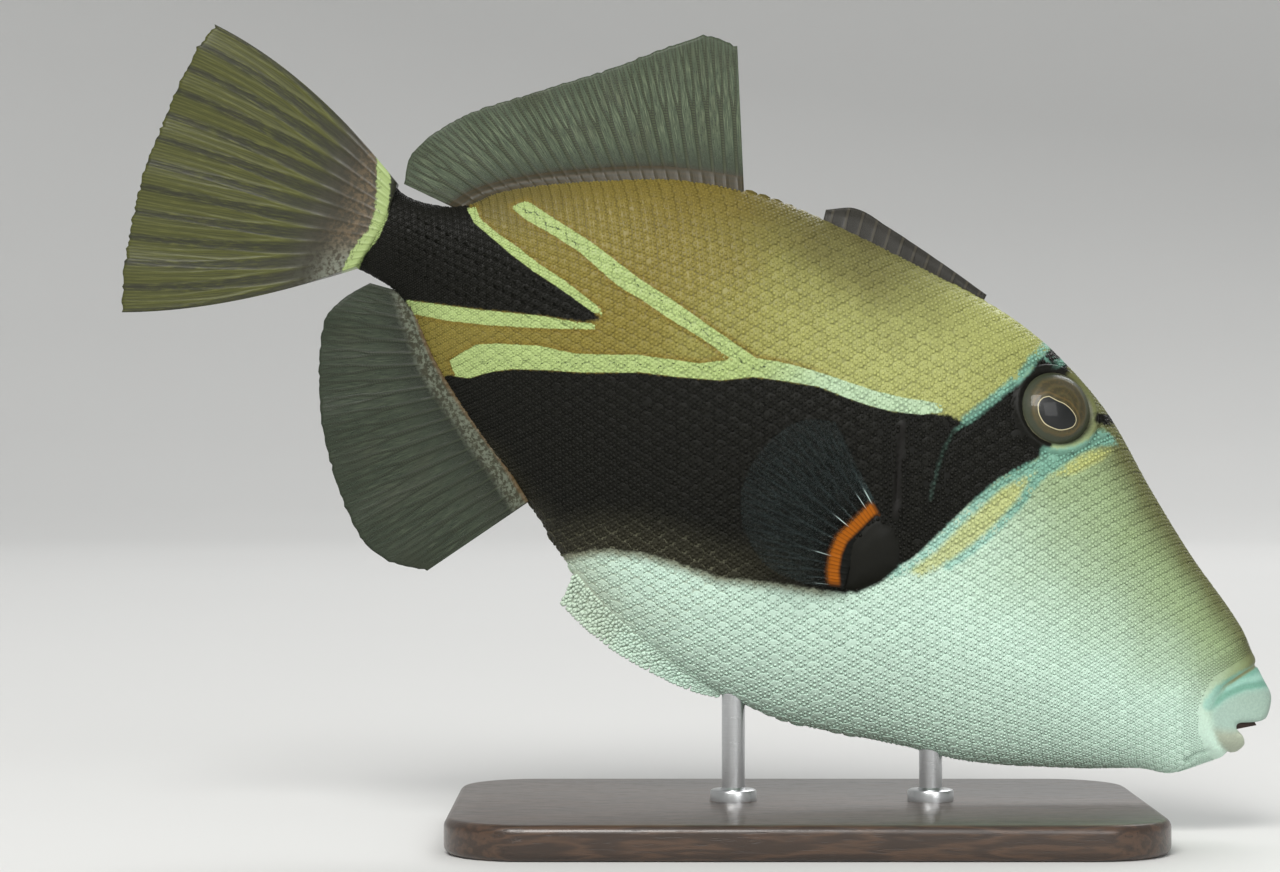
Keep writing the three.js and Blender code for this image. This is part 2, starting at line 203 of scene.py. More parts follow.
@dataclass(frozen=True)
class Pose:
    """The turn and place that carry the fish's own frame into the part's frame."""

    nose_down: float = math.radians(28.3)
    snout_ahead: float = 81.4
    snout_height: float = 22.1

    def to_part(self, at: Array) -> Array:
        """Carries points (u, v, w) in millimetres into the part's frame in metres."""
        turned = self.turn_only(at)
        return (turned + np.array([self.snout_ahead, 0, self.snout_height])) * MM

    def turn_only(self, at: Array) -> Array:
        """Turns directions (u, v, w) into the part's axes.

        Args:
            at: Rows of (u, v, w).

        Returns:
            Rows of (x, y, z).
        """
        cos, sin = math.cos(self.nose_down), math.sin(self.nose_down)
        x, z, y = -at[:, 0], at[:, 1], at[:, 2]
        return np.stack([x * cos + z * sin, y, z * cos - x * sin], axis=1)


POSE = Pose()


@dataclass(frozen=True)
class Body:
    """The fish's body as a formula: its outline and width along the length, in millimetres."""

    length: float = 178.4
    nose_round: float = 1.7
    tail_round: float = 2.4
    back: Points = (
        (0, 1.3), (2.4, 2.7), (6, 5.2), (11.4, 9.8), (24.9, 16.6), (36.3, 23.2), (49.1, 31.2), (61.7, 36),
        (72, 38), (85, 38.3), (107, 37.6), (121, 35.8), (133.4, 31.8), (142.8, 26.7), (153.4, 20),
        (159.9, 14.8), (163.5, 10.4), (168, 8), (173.5, 7), (178.4, 8.6),
    )
    belly: Points = (
        (0, -8.2), (1.6, -9.6), (3.6, -11.3), (5.1, -13.5), (9.7, -18.4), (15.1, -20.4), (24, -25.2),
        (41.2, -33.2), (53.1, -36.5), (72.4, -42.2), (84, -43.4), (94, -43.2), (104, -41.6), (112, -39.4),
        (120.7, -35.3), (131.5, -29), (142.3, -24), (154.7, -17.1), (164.8, -9.6), (170, -8.4),
        (178.4, -8.6),
    )
    middle: Points = ((0, -4), (12, -4), (40, -1), (80, 0), (120, 1), (178.4, 0))
    half_width: Points = (
        (0, 4.4), (5, 5.6), (14, 7.4), (30, 10.4), (45, 12.6), (58, 14), (76, 16), (92, 16), (112, 13.8),
        (132, 10.2), (150, 6.8), (163, 4.8), (172, 3.9), (178.4, 3.1),
    )
    back_pinch: Points = ((0, 0.9), (30, 0.85), (58, 0.78), (80, 1.05), (110, 1.3), (178.4, 1.1))
    belly_pinch: Points = ((0, 0.9), (30, 1.05), (70, 1.25), (110, 1.35), (178.4, 1.1))

    def round_off(self, u: Array) -> Array:
        """The share of the full section that the rounded ends leave at u.

        Args:
            u: The distance from the snout.

        Returns:
            The share, from 0 to 1.
        """
        nose = np.maximum(1 - u / self.nose_round, 0)
        tail = np.maximum(1 - (self.length - u) / self.tail_round, 0)
        return np.sqrt(np.maximum(1 - nose**2, 0) * np.maximum(1 - tail**2, 0))

    def surface(self, u: Array, angle: Array) -> Array:
        """Places points on the body.

        Args:
            u: The distance from the snout.
            angle: 0 on the left flank, a quarter turn on the back.

        Returns:
            Rows of (u, v, w).
        """
        rise, across = np.sin(angle), np.cos(angle)
        edge = np.where(rise > 0, line_through(self.back, u), line_through(self.belly, u))
        middle = line_through(self.middle, u)
        pinch = np.where(rise > 0, line_through(self.back_pinch, u), line_through(self.belly_pinch, u))
        rounded = self.round_off(u)
        width = line_through(self.half_width, u) * rounded * np.abs(across) ** pinch
        v = middle + np.abs(edge - middle) * rounded * rise
        return np.stack([u, v, np.sign(across) * width], axis=1)

    def normal(self, u: Array, angle: Array) -> Array:
        """The outward directions of the body at u and angle, as rows of (u, v, w).

        Args:
            u: The distance from the snout.
            angle: The angle, as for surface.

        Returns:
            Rows of (u, v, w), each of length 1.
        """
        step_u, step_angle, end = 0.6, 0.02, 0.05
        low, high = np.clip(u - step_u, end, None), np.clip(u + step_u, None, self.length - end)
        along = self.surface(high, angle) - self.surface(low, angle)
        round_about = self.surface(u, angle + step_angle) - self.surface(u, angle - step_angle)
        return unit(np.cross(along, round_about))

    def flank(self, u: Array, v: Array) -> Array:
        """How far the flank stands out from the middle plane at (u, v).

        Args:
            u: The distance from the snout.
            v: The height.

        Returns:
            The distance in millimetres.
        """
        u, v = np.atleast_1d(np.asarray(u, float)), np.atleast_1d(np.asarray(v, float))
        middle = line_through(self.middle, u)
        edge = np.where(v > middle, line_through(self.back, u), line_through(self.belly, u))
        rise = np.clip((v - middle) / (edge - middle), 0, 1)
        return self.surface(u, np.arcsin(rise) * np.where(v > middle, 1, -1))[:, 2]

    def flank_out(self, u: float, v: float) -> Array:
        """The way the left flank faces at (u, v), as (u, v, w).

        Args:
            u: The distance from the snout.
            v: The height.

        Returns:
            A direction of length 1.
        """
        step = 1.5
        tailward = (self.flank(u + step, v) - self.flank(u - step, v))[0] / (2 * step)
        upward = (self.flank(u, v + step) - self.flank(u, v - step))[0] / (2 * step)
        out = np.array([-tailward, -upward, 1.0])
        return out / np.linalg.norm(out)

    def height(self, flat: Array) -> Array:
        """How high points (u, v) lie between the belly, at 0, and the back, at 1."""
        low, high = line_through(self.belly, flat[:, 0]), line_through(self.back, flat[:, 0])
        return (flat[:, 1] - low) / (high - low)


BODY = Body()


@dataclass(frozen=True)
class Eye:
    """The seat and sizes of an eye."""

    u: float = 58.0
    v: float = 27.4
    radius: float = 6.9
    bulge: float = 4.4
    sunk: float = 2.55
    rim: float = 7.35

    def seat(self, side: Side) -> tuple[Array, Array]:
        """Finds where one eye sits.

        Args:
            side: The flank.

        Returns:
            The eye's seat on the skin and the way it looks, both as (u, v, w).
        """
        out = BODY.flank_out(self.u, self.v) * np.array([1, 1, side.value])
        return np.array([self.u, self.v, side.value * BODY.flank(self.u, self.v)[0]]), out

    def reach(self, at: Array) -> Array:
        """How far points (u, v, w) lie from the nearer eye's axis.

        Args:
            at: The points as rows.

        Returns:
            The distances in millimetres.
        """
        seat, out = self.seat(Side.LEFT)
        offset = at * np.array([1, 1, 0]) + np.abs(at) * np.array([0, 0, 1]) - seat
        away = offset - (offset @ out)[:, None] * out
        return np.linalg.norm(away, axis=1)


EYE = Eye()


@dataclass(frozen=True)
class Markings:
    """The lines and patches of colour, drawn on the flank as (u, v) in millimetres."""

    band: Points = (
        (152.3, -17), (148.6, -15.7), (145.6, -12.8), (142.3, -10.6), (137, -8), (131.6, -5.6), (123.1, -1),
        (117.6, 1.1), (110.5, 4.2), (106, 7.3), (101.8, 8.9), (95.4, 11.1), (91.5, 11.5), (83.2, 13.1),
        (76, 16.4), (74, 17.2), (71.2, 17.3), (68.9, 21.8), (66.9, 26.4), (65.2, 29.9), (64.6, 33),
        (62.6, 37.5), (59.6, 37.4), (58.2, 27.4), (55.9, 21), (57.2, 18), (58.4, 15.3), (60, 13.5),
        (61.4, 11.7), (62.4, 8.9), (63.9, 5.6), (65.7, -0.4), (67.9, -7), (71.7, -12.9), (75.2, -17.4),
        (79.1, -19), (85.6, -21.2), (94.9, -25.1), (105.4, -27), (108.8, -27.9), (115, -30.7), (122, -36.4),
        (131.5, -34), (142.3, -29), (154.7, -22),
    )
    wedge: Points = (
        (133.2, 3.6), (135.5, 4.6), (141.3, 5.2), (147.5, 5.7), (152.1, 6.4), (156, 7.3), (160.3, 8.4),
        (163.5, 11), (168, 12), (179, 12), (179, -12), (166, -12), (164.2, -9.1), (158.9, -6.9),
        (152.5, -4.5), (146.2, -1.9), (141.1, 0.1), (136, 1.8),
    )
    diagonal: Points = (
        (110.5, 8.2), (117.9, 9), (123.5, 9.3), (129.3, 10), (133.5, 10.1), (138.4, 11.3), (142.2, 12.2),
        (148.4, 12.7), (153.1, 12.8), (156.2, 13.6), (154.4, 15.8), (147.2, 15.1), (140.9, 14.6),
        (130.8, 12.9), (123.8, 12.3), (116.2, 11.3), (108.4, 10.5), (105, 9.6),
    )
    wedge_top: Points = (
        (163, 9.8), (160.3, 8.1), (156, 7.2), (152.1, 6.3), (147.5, 5.6), (141.3, 5), (135.5, 4.2),
        (133.2, 4.2), (134.2, 5.3), (138.5, 6.1), (142.5, 6.7), (147.8, 7.2), (152.2, 8), (156.6, 8.5),
        (160, 9.3), (161.6, 10.7),
    )
    wedge_foot: Points = (
        (164.8, -9.1), (158.9, -7), (152.5, -4.6), (146.2, -2), (141.1, 0), (137.5, 1.1), (133.6, 2.7),
        (133.2, 1.8), (136.1, 0.4), (139.6, -1.4), (145.1, -4), (150.7, -6.5), (156.5, -8.8), (162.5, -10.6),
    )
    long: Points = (
        (153, -14.6), (150.2, -10.1), (146.8, -8.1), (140.7, -5.3), (134.2, -3.4), (124.8, 1.4),
        (115.3, 4.9), (111.7, 7.3), (107.3, 10.2), (103.3, 11.6), (99.9, 12.5), (96.5, 13.2), (90.7, 14.2),
        (86.4, 15), (82.2, 16.1), (77.9, 17.7), (75.5, 18.2), (75.2, 17), (78.4, 14.9), (83.2, 13.1),
        (87.1, 12.1), (91.5, 11.5), (95.4, 11.1), (101.8, 8.9), (106, 7.3), (110.5, 4.2), (117.6, 1.1),
        (123.1, -1), (131.6, -5.6), (137, -8), (142.3, -10.6), (145.6, -12.8), (148.6, -15.7), (151, -16.6),
    )
    diagonal_seam: Points = ((155.3, 14.5), (147.8, 13.9), (137, 12.7), (124, 10.8), (113, 9.6), (107, 8.8))
    long_seam: Points = (
        (149, -12.6), (138, -7), (129, -2.8), (120, 1.9), (112, 5.6), (105.5, 9.3), (100, 10.9),
    )
    zigzag: Points = ((0.34, 1.25, 0), (0.2, 3.1, 1), (0.12, 7.3, 0))
    teal_nape: Points = ((71, 17.9), (69.1, 22), (67.1, 26.6), (65.8, 30), (65.3, 33), (63.6, 37.2))
    teal_crown: Points = ((61.6, 33.4), (60.4, 35), (59.4, 37.2))
    teal_cheek: Points = (
        (55.4, 18.6), (57.6, 15.9), (59.5, 13.5), (61, 10.8), (62.2, 7.4), (63.5, 3.6), (64.9, -0.4),
        (66.2, -5), (67.4, -8), (70, -11.2),
    )
    teal_lower: Points = ((54.6, 18.4), (55.8, 13.6), (56.5, 9), (58, 4), (59.8, -0.8), (62, -5.2))
    teal_inside: Points = ((69.8, 18.9), (71.9, 15.5), (72.1, 11.6), (71.4, 8.1), (70.1, 3.1))
    teal_eye: Points = (
        (57.4, 20), (54.8, 20.9), (52.6, 22.6), (50.8, 24.8), (49.8, 27.6), (47.4, 27.9), (45.5, 26.8),
        (48.5, 25.2), (51.1, 22.1), (52.9, 17.7), (56, 15.6),
    )
    yellow: Points = (
        (57.1, 14), (58.6, 12.6), (60.1, 10.5), (61.4, 6.9), (62.7, 3.4), (63.9, -0.1), (65, -4.2),
        (67.4, -9), (65.4, -9.2), (63.6, -6.6), (61.7, -3.1), (59.8, 1.1), (58.2, 5.8), (57.1, 9.9),
    )
    yellow_eye: Points = ((53.6, 16.6), (52.2, 19.6), (49.6, 23.2), (46.2, 25.6), (47, 23.4), (50.2, 18.8))
    blotch: Points = ((51.7, 29.5), (48.6, 31.2), (46.6, 31.4), (48, 29.2), (51.1, 28.1))
    crown_dark: Points = ((64.6, 32), (62.2, 37.8), (59.8, 37.6), (60.8, 34), (62.4, 31.4))
    lip_teal: Points = (
        (3.2, 5.6), (6, 5.2), (9.1, 2.1), (11.5, -1.5), (12.1, -4.3), (11.7, -5.8), (10.1, -5.8),
        (8.8, -2.6), (6.6, 0), (3.4, 2.2), (1, 3),
    )
    tail_band: Points = (
        (179.4, 10.4), (176.5, 5), (175.2, 1.8), (174.8, -1.8), (175.6, -5.4), (175.5, -10.2),
    )
    lobe: Points = (
        (76.9, -3.4), (78, -6.8), (78.9, -9.8), (78.7, -12), (77.8, -14.6), (76, -17.4), (73.4, -16.8),
        (70.6, -13.2), (69.2, -9.6), (70, -6), (73, -3.6),
    )
    under_stripes: Points = (
        (59, 60), (60, 30), (66, 10), (80, 2), (100, -6), (125, -18), (150, -23), (182, -23), (190, 60),
    )

    def nearest(self, at: Array, *areas: Points) -> Array:
        """The signed distance to the nearest of some areas."""
        return np.min([area_distance(at, area) for area in areas], axis=0)

    def stripes(self, at: Array) -> Array:
        """The signed distance to the nearest of the pale stripes."""
        return self.nearest(at, self.diagonal, self.wedge_top, self.wedge_foot, self.long)

    def dark(self, at: Array) -> Array:
        """The signed distance to the black band, the wedge and the dark marks of the head."""
        return self.nearest(at, self.band, self.wedge, self.blotch, self.crown_dark)

    def teal(self, at: Array) -> Array:
        """The signed distance to the blue-green lines and patches.

        Args:
            at: Points as rows of (u, v).

        Returns:
            The distances, below zero inside.
        """
        lines = (
            (self.teal_nape, 0.75), (self.teal_crown, 0.55), (self.teal_cheek, 0.8),
            (self.teal_lower, 0.75), (self.teal_inside, 0.12),
        )
        near = [line_distance(at, line)[0] - half for line, half in lines]
        return np.min([*near, self.nearest(at, self.teal_eye, self.lip_teal)], axis=0)

    def yellows(self, at: Array) -> Array:
        """The signed distance to the yellow patches below the eye."""
        return self.nearest(at, self.yellow, self.yellow_eye)

    def tail(self, at: Array) -> Array:
        """How far points lie behind the pale band at the root of the tail fin."""
        distance, _, side = line_distance(at, self.tail_band)
        return distance * side

    def lobes(self, at: Array) -> Array:
        """The signed distance to the smooth lobe ahead of the pectoral fin."""
        return area_distance(at, self.lobe)

    def upper(self, at: Array) -> Array:
        """The signed distance to all that has the back's colours."""
        return area_distance(at, self.under_stripes)

    def seams(self, at: Array) -> Array:
        """The distance to the dark hairlines that zigzag along the two broad stripes.

        Args:
            at: Points as rows of (u, v).

        Returns:
            The distances, never below zero.
        """
        found = []
        for line in (self.diagonal_seam, self.long_seam):
            distance, along, side = line_distance(at, line)
            waves = [size * np.sin(along * pace + start) for size, pace, start in self.zigzag]
            found.append(np.abs(distance * side - sum(waves)))
        return np.min(found, axis=0)


MARKINGS = Markings()


class Chart:
    """Distances to the markings at the points of a fine grid, read smoothly between them."""

    def __init__(self, low: tuple[float, float] = (-4.0, -52.0), size: tuple[float, float] = (232.0, 100.0),
                 spacing: float = 0.35) -> None:
        """Measures every marking over the side view of the fish.

        Args:
            low: The grid's first corner as (u, v).
            size: Its length and height.
            spacing: The distance between its points.
        """
        self.low = np.array(low)
        self.spacing = spacing
        self.shape = tuple(int(side / spacing) for side in size)
        columns, rows = np.meshgrid(*(np.arange(count) for count in self.shape), indexing="ij")
        grid = np.stack([columns.ravel(), rows.ravel()], axis=1) * spacing + self.low
        names = ("dark", "stripes", "teal", "yellows", "tail", "lobes", "upper")
        self.fields = {name: getattr(MARKINGS, name)(grid).reshape(self.shape) for name in names}

    def read(self, name: str, at: Array) -> Array:
        """Reads one marking's distance.

        Args:
            name: The marking.
            at: Points as rows of (u, v).

        Returns:
            The distance at each point.
        """
        known = self.fields[name]
        spot = (at - self.low) / self.spacing
        cell = np.clip(spot.astype(int), 0, np.array(self.shape) - 2)
        part = np.clip(spot - cell, 0, 1)
        i, j = cell.T
        x, y = part.T
        near = known[i, j] * (1 - y) + known[i, j + 1] * y
        far = known[i + 1, j] * (1 - y) + known[i + 1, j + 1] * y
        return near * (1 - x) + far * x


CHART = Chart()

LIP_LINE: Points = (
    (3.6, 10), (5.9, 5.3), (8, 2.4), (9.8, -0.6), (10.3, -3.4), (9.8, -5.9), (8.2, -8.2), (6.1, -9.8),
    (3.4, -10.7), (-2, -12.4),
)
GILL_SLIT: Points = ((80.2, 12.2), (78.4, 8), (76.4, 3.4), (74, -1.8))
GILL_CREASE: Points = ((67.2, 22), (70.2, 17.6), (71.6, 13.6), (70.6, 8.4), (68.8, 3.5), (68.6, -2))
CHIN_FOLD: Points = ((7, -12), (8.6, -13.6), (9.4, -15.4))
NOSTRILS: Points = ((50.2, 29.4), (48.9, 27.6))


@dataclass(frozen=True)
class Relief:
    """How the skin stands off the body's plain surface, in millimetres."""

    coat_depth: float = 0.3
    pit: float = 1.9
    lid: float = 0.55
    lobe: float = 0.9
    slit: float = 0.8

    def bare(self, at: Array) -> Array:
        """How free of scales the skin is at points (u, v, w), from 0 to 1.

        Args:
            at: The points as rows.

        Returns:
            1 where no scale stands, 0 where all do.
        """
        flat = at[:, :2]
        distance, _, side = line_distance(flat, LIP_LINE)
        lips = 1 - smooth_step(distance * side, 0.5, 7.5)
        lobe = smooth_step(-CHART.read("lobes", flat), 0.1, 0.9)
        eye = 1 - smooth_step(EYE.reach(at), 7.7, 8.3)
        slit = 1 - smooth_step(line_distance(flat, GILL_SLIT)[0], 0.5, 1.0)
        nostrils = np.min([np.hypot(*(flat - spot).T) for spot in NOSTRILS], axis=0)
        return np.max([lips, eye, slit, lobe, 1 - smooth_step(nostrils, 0.6, 1.0)], axis=0)

    def lips(self, flat: Array) -> Array:
        """1 on the lips and 0 past their rear edge, at points (u, v)."""
        distance, _, side = line_distance(flat, LIP_LINE)
        return smooth_step(-distance * side, -0.5, 0.5)

    def height(self, at: Array) -> Array:
        """How far the skin stands off the body's surface at points (u, v, w).

        Args:
            at: The points as rows.

        Returns:
            The heights, below zero inwards.
        """
        flat = at[:, :2]
        reach = EYE.reach(at)
        lifted = -self.coat_depth * (1 - self.bare(at))
        lifted -= self.pit * (1 - smooth_step(reach, 5.2, 6.75))
        lifted += self.lid * bump(reach - EYE.rim, 0.45) - 0.2 * bump(reach - 8.3, 0.3)
        lobe = -CHART.read("lobes", flat)
        lifted += self.lobe * smooth_step(lobe, -0.6, 3.4) + 0.25 * bump(lobe - 0.5, 0.5) * (flat[:, 0] > 75)
        distance, along, side = line_distance(flat, GILL_SLIT)
        ends = smooth_step(along, 0.2, 3) * (1 - smooth_step(along, 12.4, 15))
        lifted -= self.slit * ends * bump(distance, 0.42)
        lifted += 0.3 * ends * bump(distance * side - 1.0, 0.6)
        crease, along, side = line_distance(flat, GILL_CREASE)
        ends = smooth_step(along, 0, 5) * (1 - smooth_step(along, 20, 27))
        lifted -= 0.22 * ends * bump(crease, 0.6)
        lifted += 0.12 * ends * bump(crease * side + 1.4, 0.9)
        lip, _, side = line_distance(flat, LIP_LINE)
        lifted -= 0.42 * bump(lip, 0.4) * (flat[:, 0] > 0)
        lifted += 0.2 * bump(lip * side - 1.3, 0.9)
        lifted -= 0.3 * bump(line_distance(flat, CHIN_FOLD)[0], 0.4)
        for spot in NOSTRILS:
            reach = np.hypot(*(flat - spot).T)
            lifted += 0.28 * bump(reach - 0.72, 0.25) - 0.8 * bump(reach, 0.42)
        return lifted


RELIEF = Relief()


# Meshes

def added(name: str, data: bpy.types.ID) -> Piece:
    """Adds an object to the scene.

    Args:
        name: The object's name.
        data: Its mesh, light or camera.

    Returns:
        The object.
    """
    made = bpy.data.objects.new(name, data)
    bpy.context.scene.collection.objects.link(made)
    return made


def mesh_object(name: str, bm: bmesh.types.BMesh) -> Piece:
    """Turns a finished bmesh into an object with smooth faces.

    Args:
        name: The object's name.
        bm: The bmesh, which is freed.

    Returns:
        The object.
    """
    mesh = bpy.data.meshes.new(name)
    bm.to_mesh(mesh)
    bm.free()
    mesh.shade_smooth()
    return added(name, mesh)


def rows_of(parts: bpy.types.bpy_prop_collection, key: str) -> Array:
    """Reads a vector from each part of a mesh.

    Args:
        parts: The mesh's vertices or their normals.
        key: The vector's name.

    Returns:
        One row for each part.
    """
    flat = np.empty(len(parts) * 3)
    parts.foreach_get(key, flat)
    return flat.reshape(-1, 3)


def coordinates(mesh: Mesh) -> Array:
    """The mesh's vertices as rows."""
    return rows_of(mesh.vertices, "co")


def move_vertices(mesh: Mesh, at: Array) -> None:
    """Puts the mesh's vertices where the rows say."""
    mesh.vertices.foreach_set("co", np.ascontiguousarray(at, float).ravel())
    mesh.update()


def set_values(mesh: Mesh, name: str, *columns: Array) -> None:
    """Stores up to three numbers for each vertex under a name that materials can read.

    Args:
        mesh: The mesh.
        name: The name.
        columns: The numbers, one array for each.
    """
    values = np.zeros((len(mesh.vertices), 3), np.float32)
    values[:, :len(columns)] = np.stack(columns, axis=1)
    mesh.attributes.new(name, "FLOAT_VECTOR", "POINT").data.foreach_set("vector", values.ravel())


def face_out(made: Piece) -> None:
    """Turns every face of a solid outwards.

    Args:
        made: The solid.
    """
    bm = bmesh.new()
    bm.from_mesh(made.data)
    bmesh.ops.recalc_face_normals(bm, faces=bm.faces)
    bm.to_mesh(made.data)
    bm.free()


def prism(name: str, outline: Points, half: float) -> Piece:
    """Makes a solid that runs straight across the fish.

    Args:
        name: The object's name.
        outline: Its corners as (u, v).
        half: How far it runs to either side.

    Returns:
        The solid, in the fish's frame.
    """
    bm = bmesh.new()
    face = bm.faces.new([bm.verts.new((u, v, -half)) for u, v in outline])
    grown = bmesh.ops.extrude_face_region(bm, geom=[face])["geom"]
    moved = [item for item in grown if isinstance(item, bmesh.types.BMVert)]
    bmesh.ops.translate(bm, verts=moved, vec=(0, 0, 2 * half))
    made = mesh_object(name, bm)
    face_out(made)
    return made


def blade(name: str, columns: int, rows: int) -> tuple[Piece, Array, Array, Array]:
    """Starts a closed blade from a grid.

    Args:
        name: The object's name.
        columns: Its divisions from side to side.
        rows: Its divisions from foot to edge.

    Returns:
        The blade, and for each vertex its share of the way across, its share of the way out and its
        face as a sign.
    """
    bm = bmesh.new()
    bmesh.ops.create_grid(bm, x_segments=columns, y_segments=rows, size=1)
    bmesh.ops.solidify(bm, geom=list(bm.faces), thickness=1)
    made = mesh_object(name, bm)
    at = coordinates(made.data)
    middle = (at[:, 2].min() + at[:, 2].max()) / 2
    return made, (at[:, 0] + 1) / 2, (at[:, 1] + 1) / 2, np.sign(at[:, 2] - middle)


def lathe(profile: Sequence[tuple[float, float]], steps: int) -> bmesh.types.BMesh:
    """Turns a profile about Z.

    Args:
        profile: Its points as (radius, z).
        steps: How many steps the full turn has.

    Returns:
        The turned mesh, with its faces outwards.
    """
    bm = bmesh.new()
    verts = [bm.verts.new((radius, 0, z)) for radius, z in profile]
    edges = [bm.edges.new(pair) for pair in zip(verts[:-1], verts[1:])]
    bmesh.ops.spin(
        bm, geom=verts + edges, cent=(0, 0, 0), axis=(0, 0, 1), angle=FULL_TURN, steps=steps, use_merge=True,
    )
    bmesh.ops.remove_doubles(bm, verts=bm.verts, dist=MERGE)
    bmesh.ops.recalc_face_normals(bm, faces=bm.faces)
    return bm


class Pattern(Enum):
    """The solids that the coat repeats."""

    PLATE = "plate"
    GRANULE = "granule"
    SPINE = "spine"


# Painted light: each solid's share sets how bright its top is painted, a painted highlight over painted shade
# at its foot.
CREST_PAINTED_LIGHT = {Pattern.PLATE: 0.5, Pattern.GRANULE: 1.0, Pattern.SPINE: 0.6}
TILTS = {Pattern.PLATE: (0.035, 0.045), Pattern.GRANULE: (0.0, 0.0), Pattern.SPINE: (0.0, 0.0)}


def pattern(kind: Pattern) -> tuple[Array, Array]:
    """Shapes one small solid that the coat repeats, about 1 across with z pointing out.

    Args:
        kind: Which solid.

    Returns:
        Its triangles as rows of vertices, and its vertices as rows.
    """
    bm = bmesh.new()
    if kind is Pattern.GRANULE:
        bmesh.ops.create_icosphere(bm, subdivisions=1, radius=0.5)
    elif kind is Pattern.SPINE:
        bmesh.ops.create_cone(bm, cap_ends=True, segments=6, radius1=0.5, radius2=0.08, depth=1)
        bmesh.ops.translate(bm, verts=bm.verts, vec=(0, 0, 0.5))
        for vert in bm.verts:
            vert.co.x += 0.7 * vert.co.z**2
    else:
        bmesh.ops.create_cone(bm, cap_ends=True, segments=8, radius1=0.5, radius2=0.47, depth=1)
        bmesh.ops.translate(bm, verts=bm.verts, vec=(0, 0, -0.5))
        top = [face for face in bm.faces if face.normal.z > 0.9]
        bmesh.ops.inset_region(bm, faces=top, thickness=0.06, depth=0.0)
        for vert in {vert for face in top for vert in face.verts}:
            vert.co.z += 0.45
    bmesh.ops.triangulate(bm, faces=bm.faces)
    mesh = bpy.data.meshes.new("pattern")
    bm.to_mesh(mesh)
    bm.free()
    mesh.calc_loop_triangles()
    faces = np.array([triangle.vertices[:] for triangle in mesh.loop_triangles])
    at = coordinates(mesh)
    bpy.data.meshes.remove(mesh)
    return faces, at


@dataclass(frozen=True)
class Roots:
    """Where the coat's small solids stand: a place, two directions and an unwrapped place for each."""

    at: Array
    out: Array
    along: Array
    unwrapped: Array

    def picked(self, keep: Array) -> "Roots":
        """The roots that keep says."""
        return Roots(self.at[keep], self.out[keep], self.along[keep], self.unwrapped[keep])

    @classmethod
    def joined(cls, flanks: Sequence[tuple[Array, ...]]) -> "Roots":
        """The roots of both flanks together."""
        return cls(*(np.concatenate(parts) for parts in zip(*flanks)))


def repeat(name: str, kind: Pattern, roots: Roots, sizes: Array) -> Piece:
    """Joins copies of one small solid, one on each root, into one mesh.

    Args:
        name: The piece's name.
        kind: The solid.
        roots: Where the copies stand.
        sizes: Rows of length along the fish, width and height, in millimetres.

    Returns:
        The piece, in metres, with its unwrapped patches.
    """
    faces, solid = pattern(kind)
    across = np.cross(roots.out, roots.along)
    shaped = solid[None] * sizes[:, None, :]
    upward = np.where(across[:, 1] < 0, -1.0, 1.0)[:, None]
    to_tail, to_back = TILTS[kind]
    shaped[:, :, 2] += to_tail * shaped[:, :, 0] + to_back * shaped[:, :, 1] * upward
    at = roots.at[:, None]
    for axis, way in enumerate((roots.along, across, roots.out)):
        at = at + shaped[:, :, axis:axis + 1] * way[:, None]
    at = at.reshape(-1, 3)
    copies = len(roots.at)
    corners = (faces[None] + np.arange(copies)[:, None, None] * len(solid)).reshape(-1, 3)
    mesh = bpy.data.meshes.new(name)
    mesh.from_pydata(POSE.to_part(at).tolist(), [], corners.tolist())
    patch = (roots.unwrapped[:, None] + solid[None, :, :2] * BAKE_PATCH).reshape(-1, 2)
    loops = np.empty(len(mesh.loops), np.int64)
    mesh.loops.foreach_get("vertex_index", loops)
    mesh.uv_layers.new(name=BAKE_MAP).data.foreach_set("uv", patch[loops].astype(np.float32).ravel())
    mesh.shade_smooth()
    tone = np.repeat(np.random.default_rng(copies).random(copies), len(solid))
    # The crest values carry painted shade at each solid's foot and a painted highlight at its top.
    crest = np.tile(CREST_PAINTED_LIGHT[kind] * np.clip((solid[:, 2] + 1) / 1.5, 0, 1) ** 1.5, copies)
    dress_flank(mesh, at, tone, crest)
    return added(name, mesh)


def dress_flank(mesh: Mesh, at: Array, tone: Array, crest: Array) -> None:
    """Stores on a mesh what its material reads: places and distances to the markings.

    Args:
        mesh: The skin or a piece of the coat.
        at: Its vertices as (u, v, w) in millimetres.
        tone: A shade from 0 to 1 for each vertex, alike over one small solid.
        crest: How high each vertex stands in the coat, from 0 in the gaps to 1, which the material turns into
            painted shade in the gaps and painted highlights on the crests.
    """
    flat = at[:, :2]
    lips = RELIEF.lips(flat) * (flat[:, 0] < LIPS_END)
    # Painted shade: near black in the gap round the eye and along the gill slit.
    painted_hollow_shade = 1 - smooth_step(EYE.reach(at), 6.2, 7.1)
    painted_hollow_shade += bump(line_distance(flat, GILL_SLIT)[0], 0.45)
    stripes = CHART.read("stripes", flat)
    seams = np.full(len(at), FAR)
    near = stripes < 0.5
    seams[near] = MARKINGS.seams(flat[near])
    set_values(mesh, "place", flat[:, 0], BODY.height(flat), CHART.read("upper", flat))
    set_values(mesh, "marks", CHART.read("dark", flat), stripes, CHART.read("teal", flat))
    set_values(mesh, "lines", CHART.read("yellows", flat), seams, CHART.read("tail", flat))
    set_values(mesh, "grain", tone, painted_hollow_shade, crest)
    set_values(mesh, "lips", lips, CHART.read("lobes", flat))


# Materials

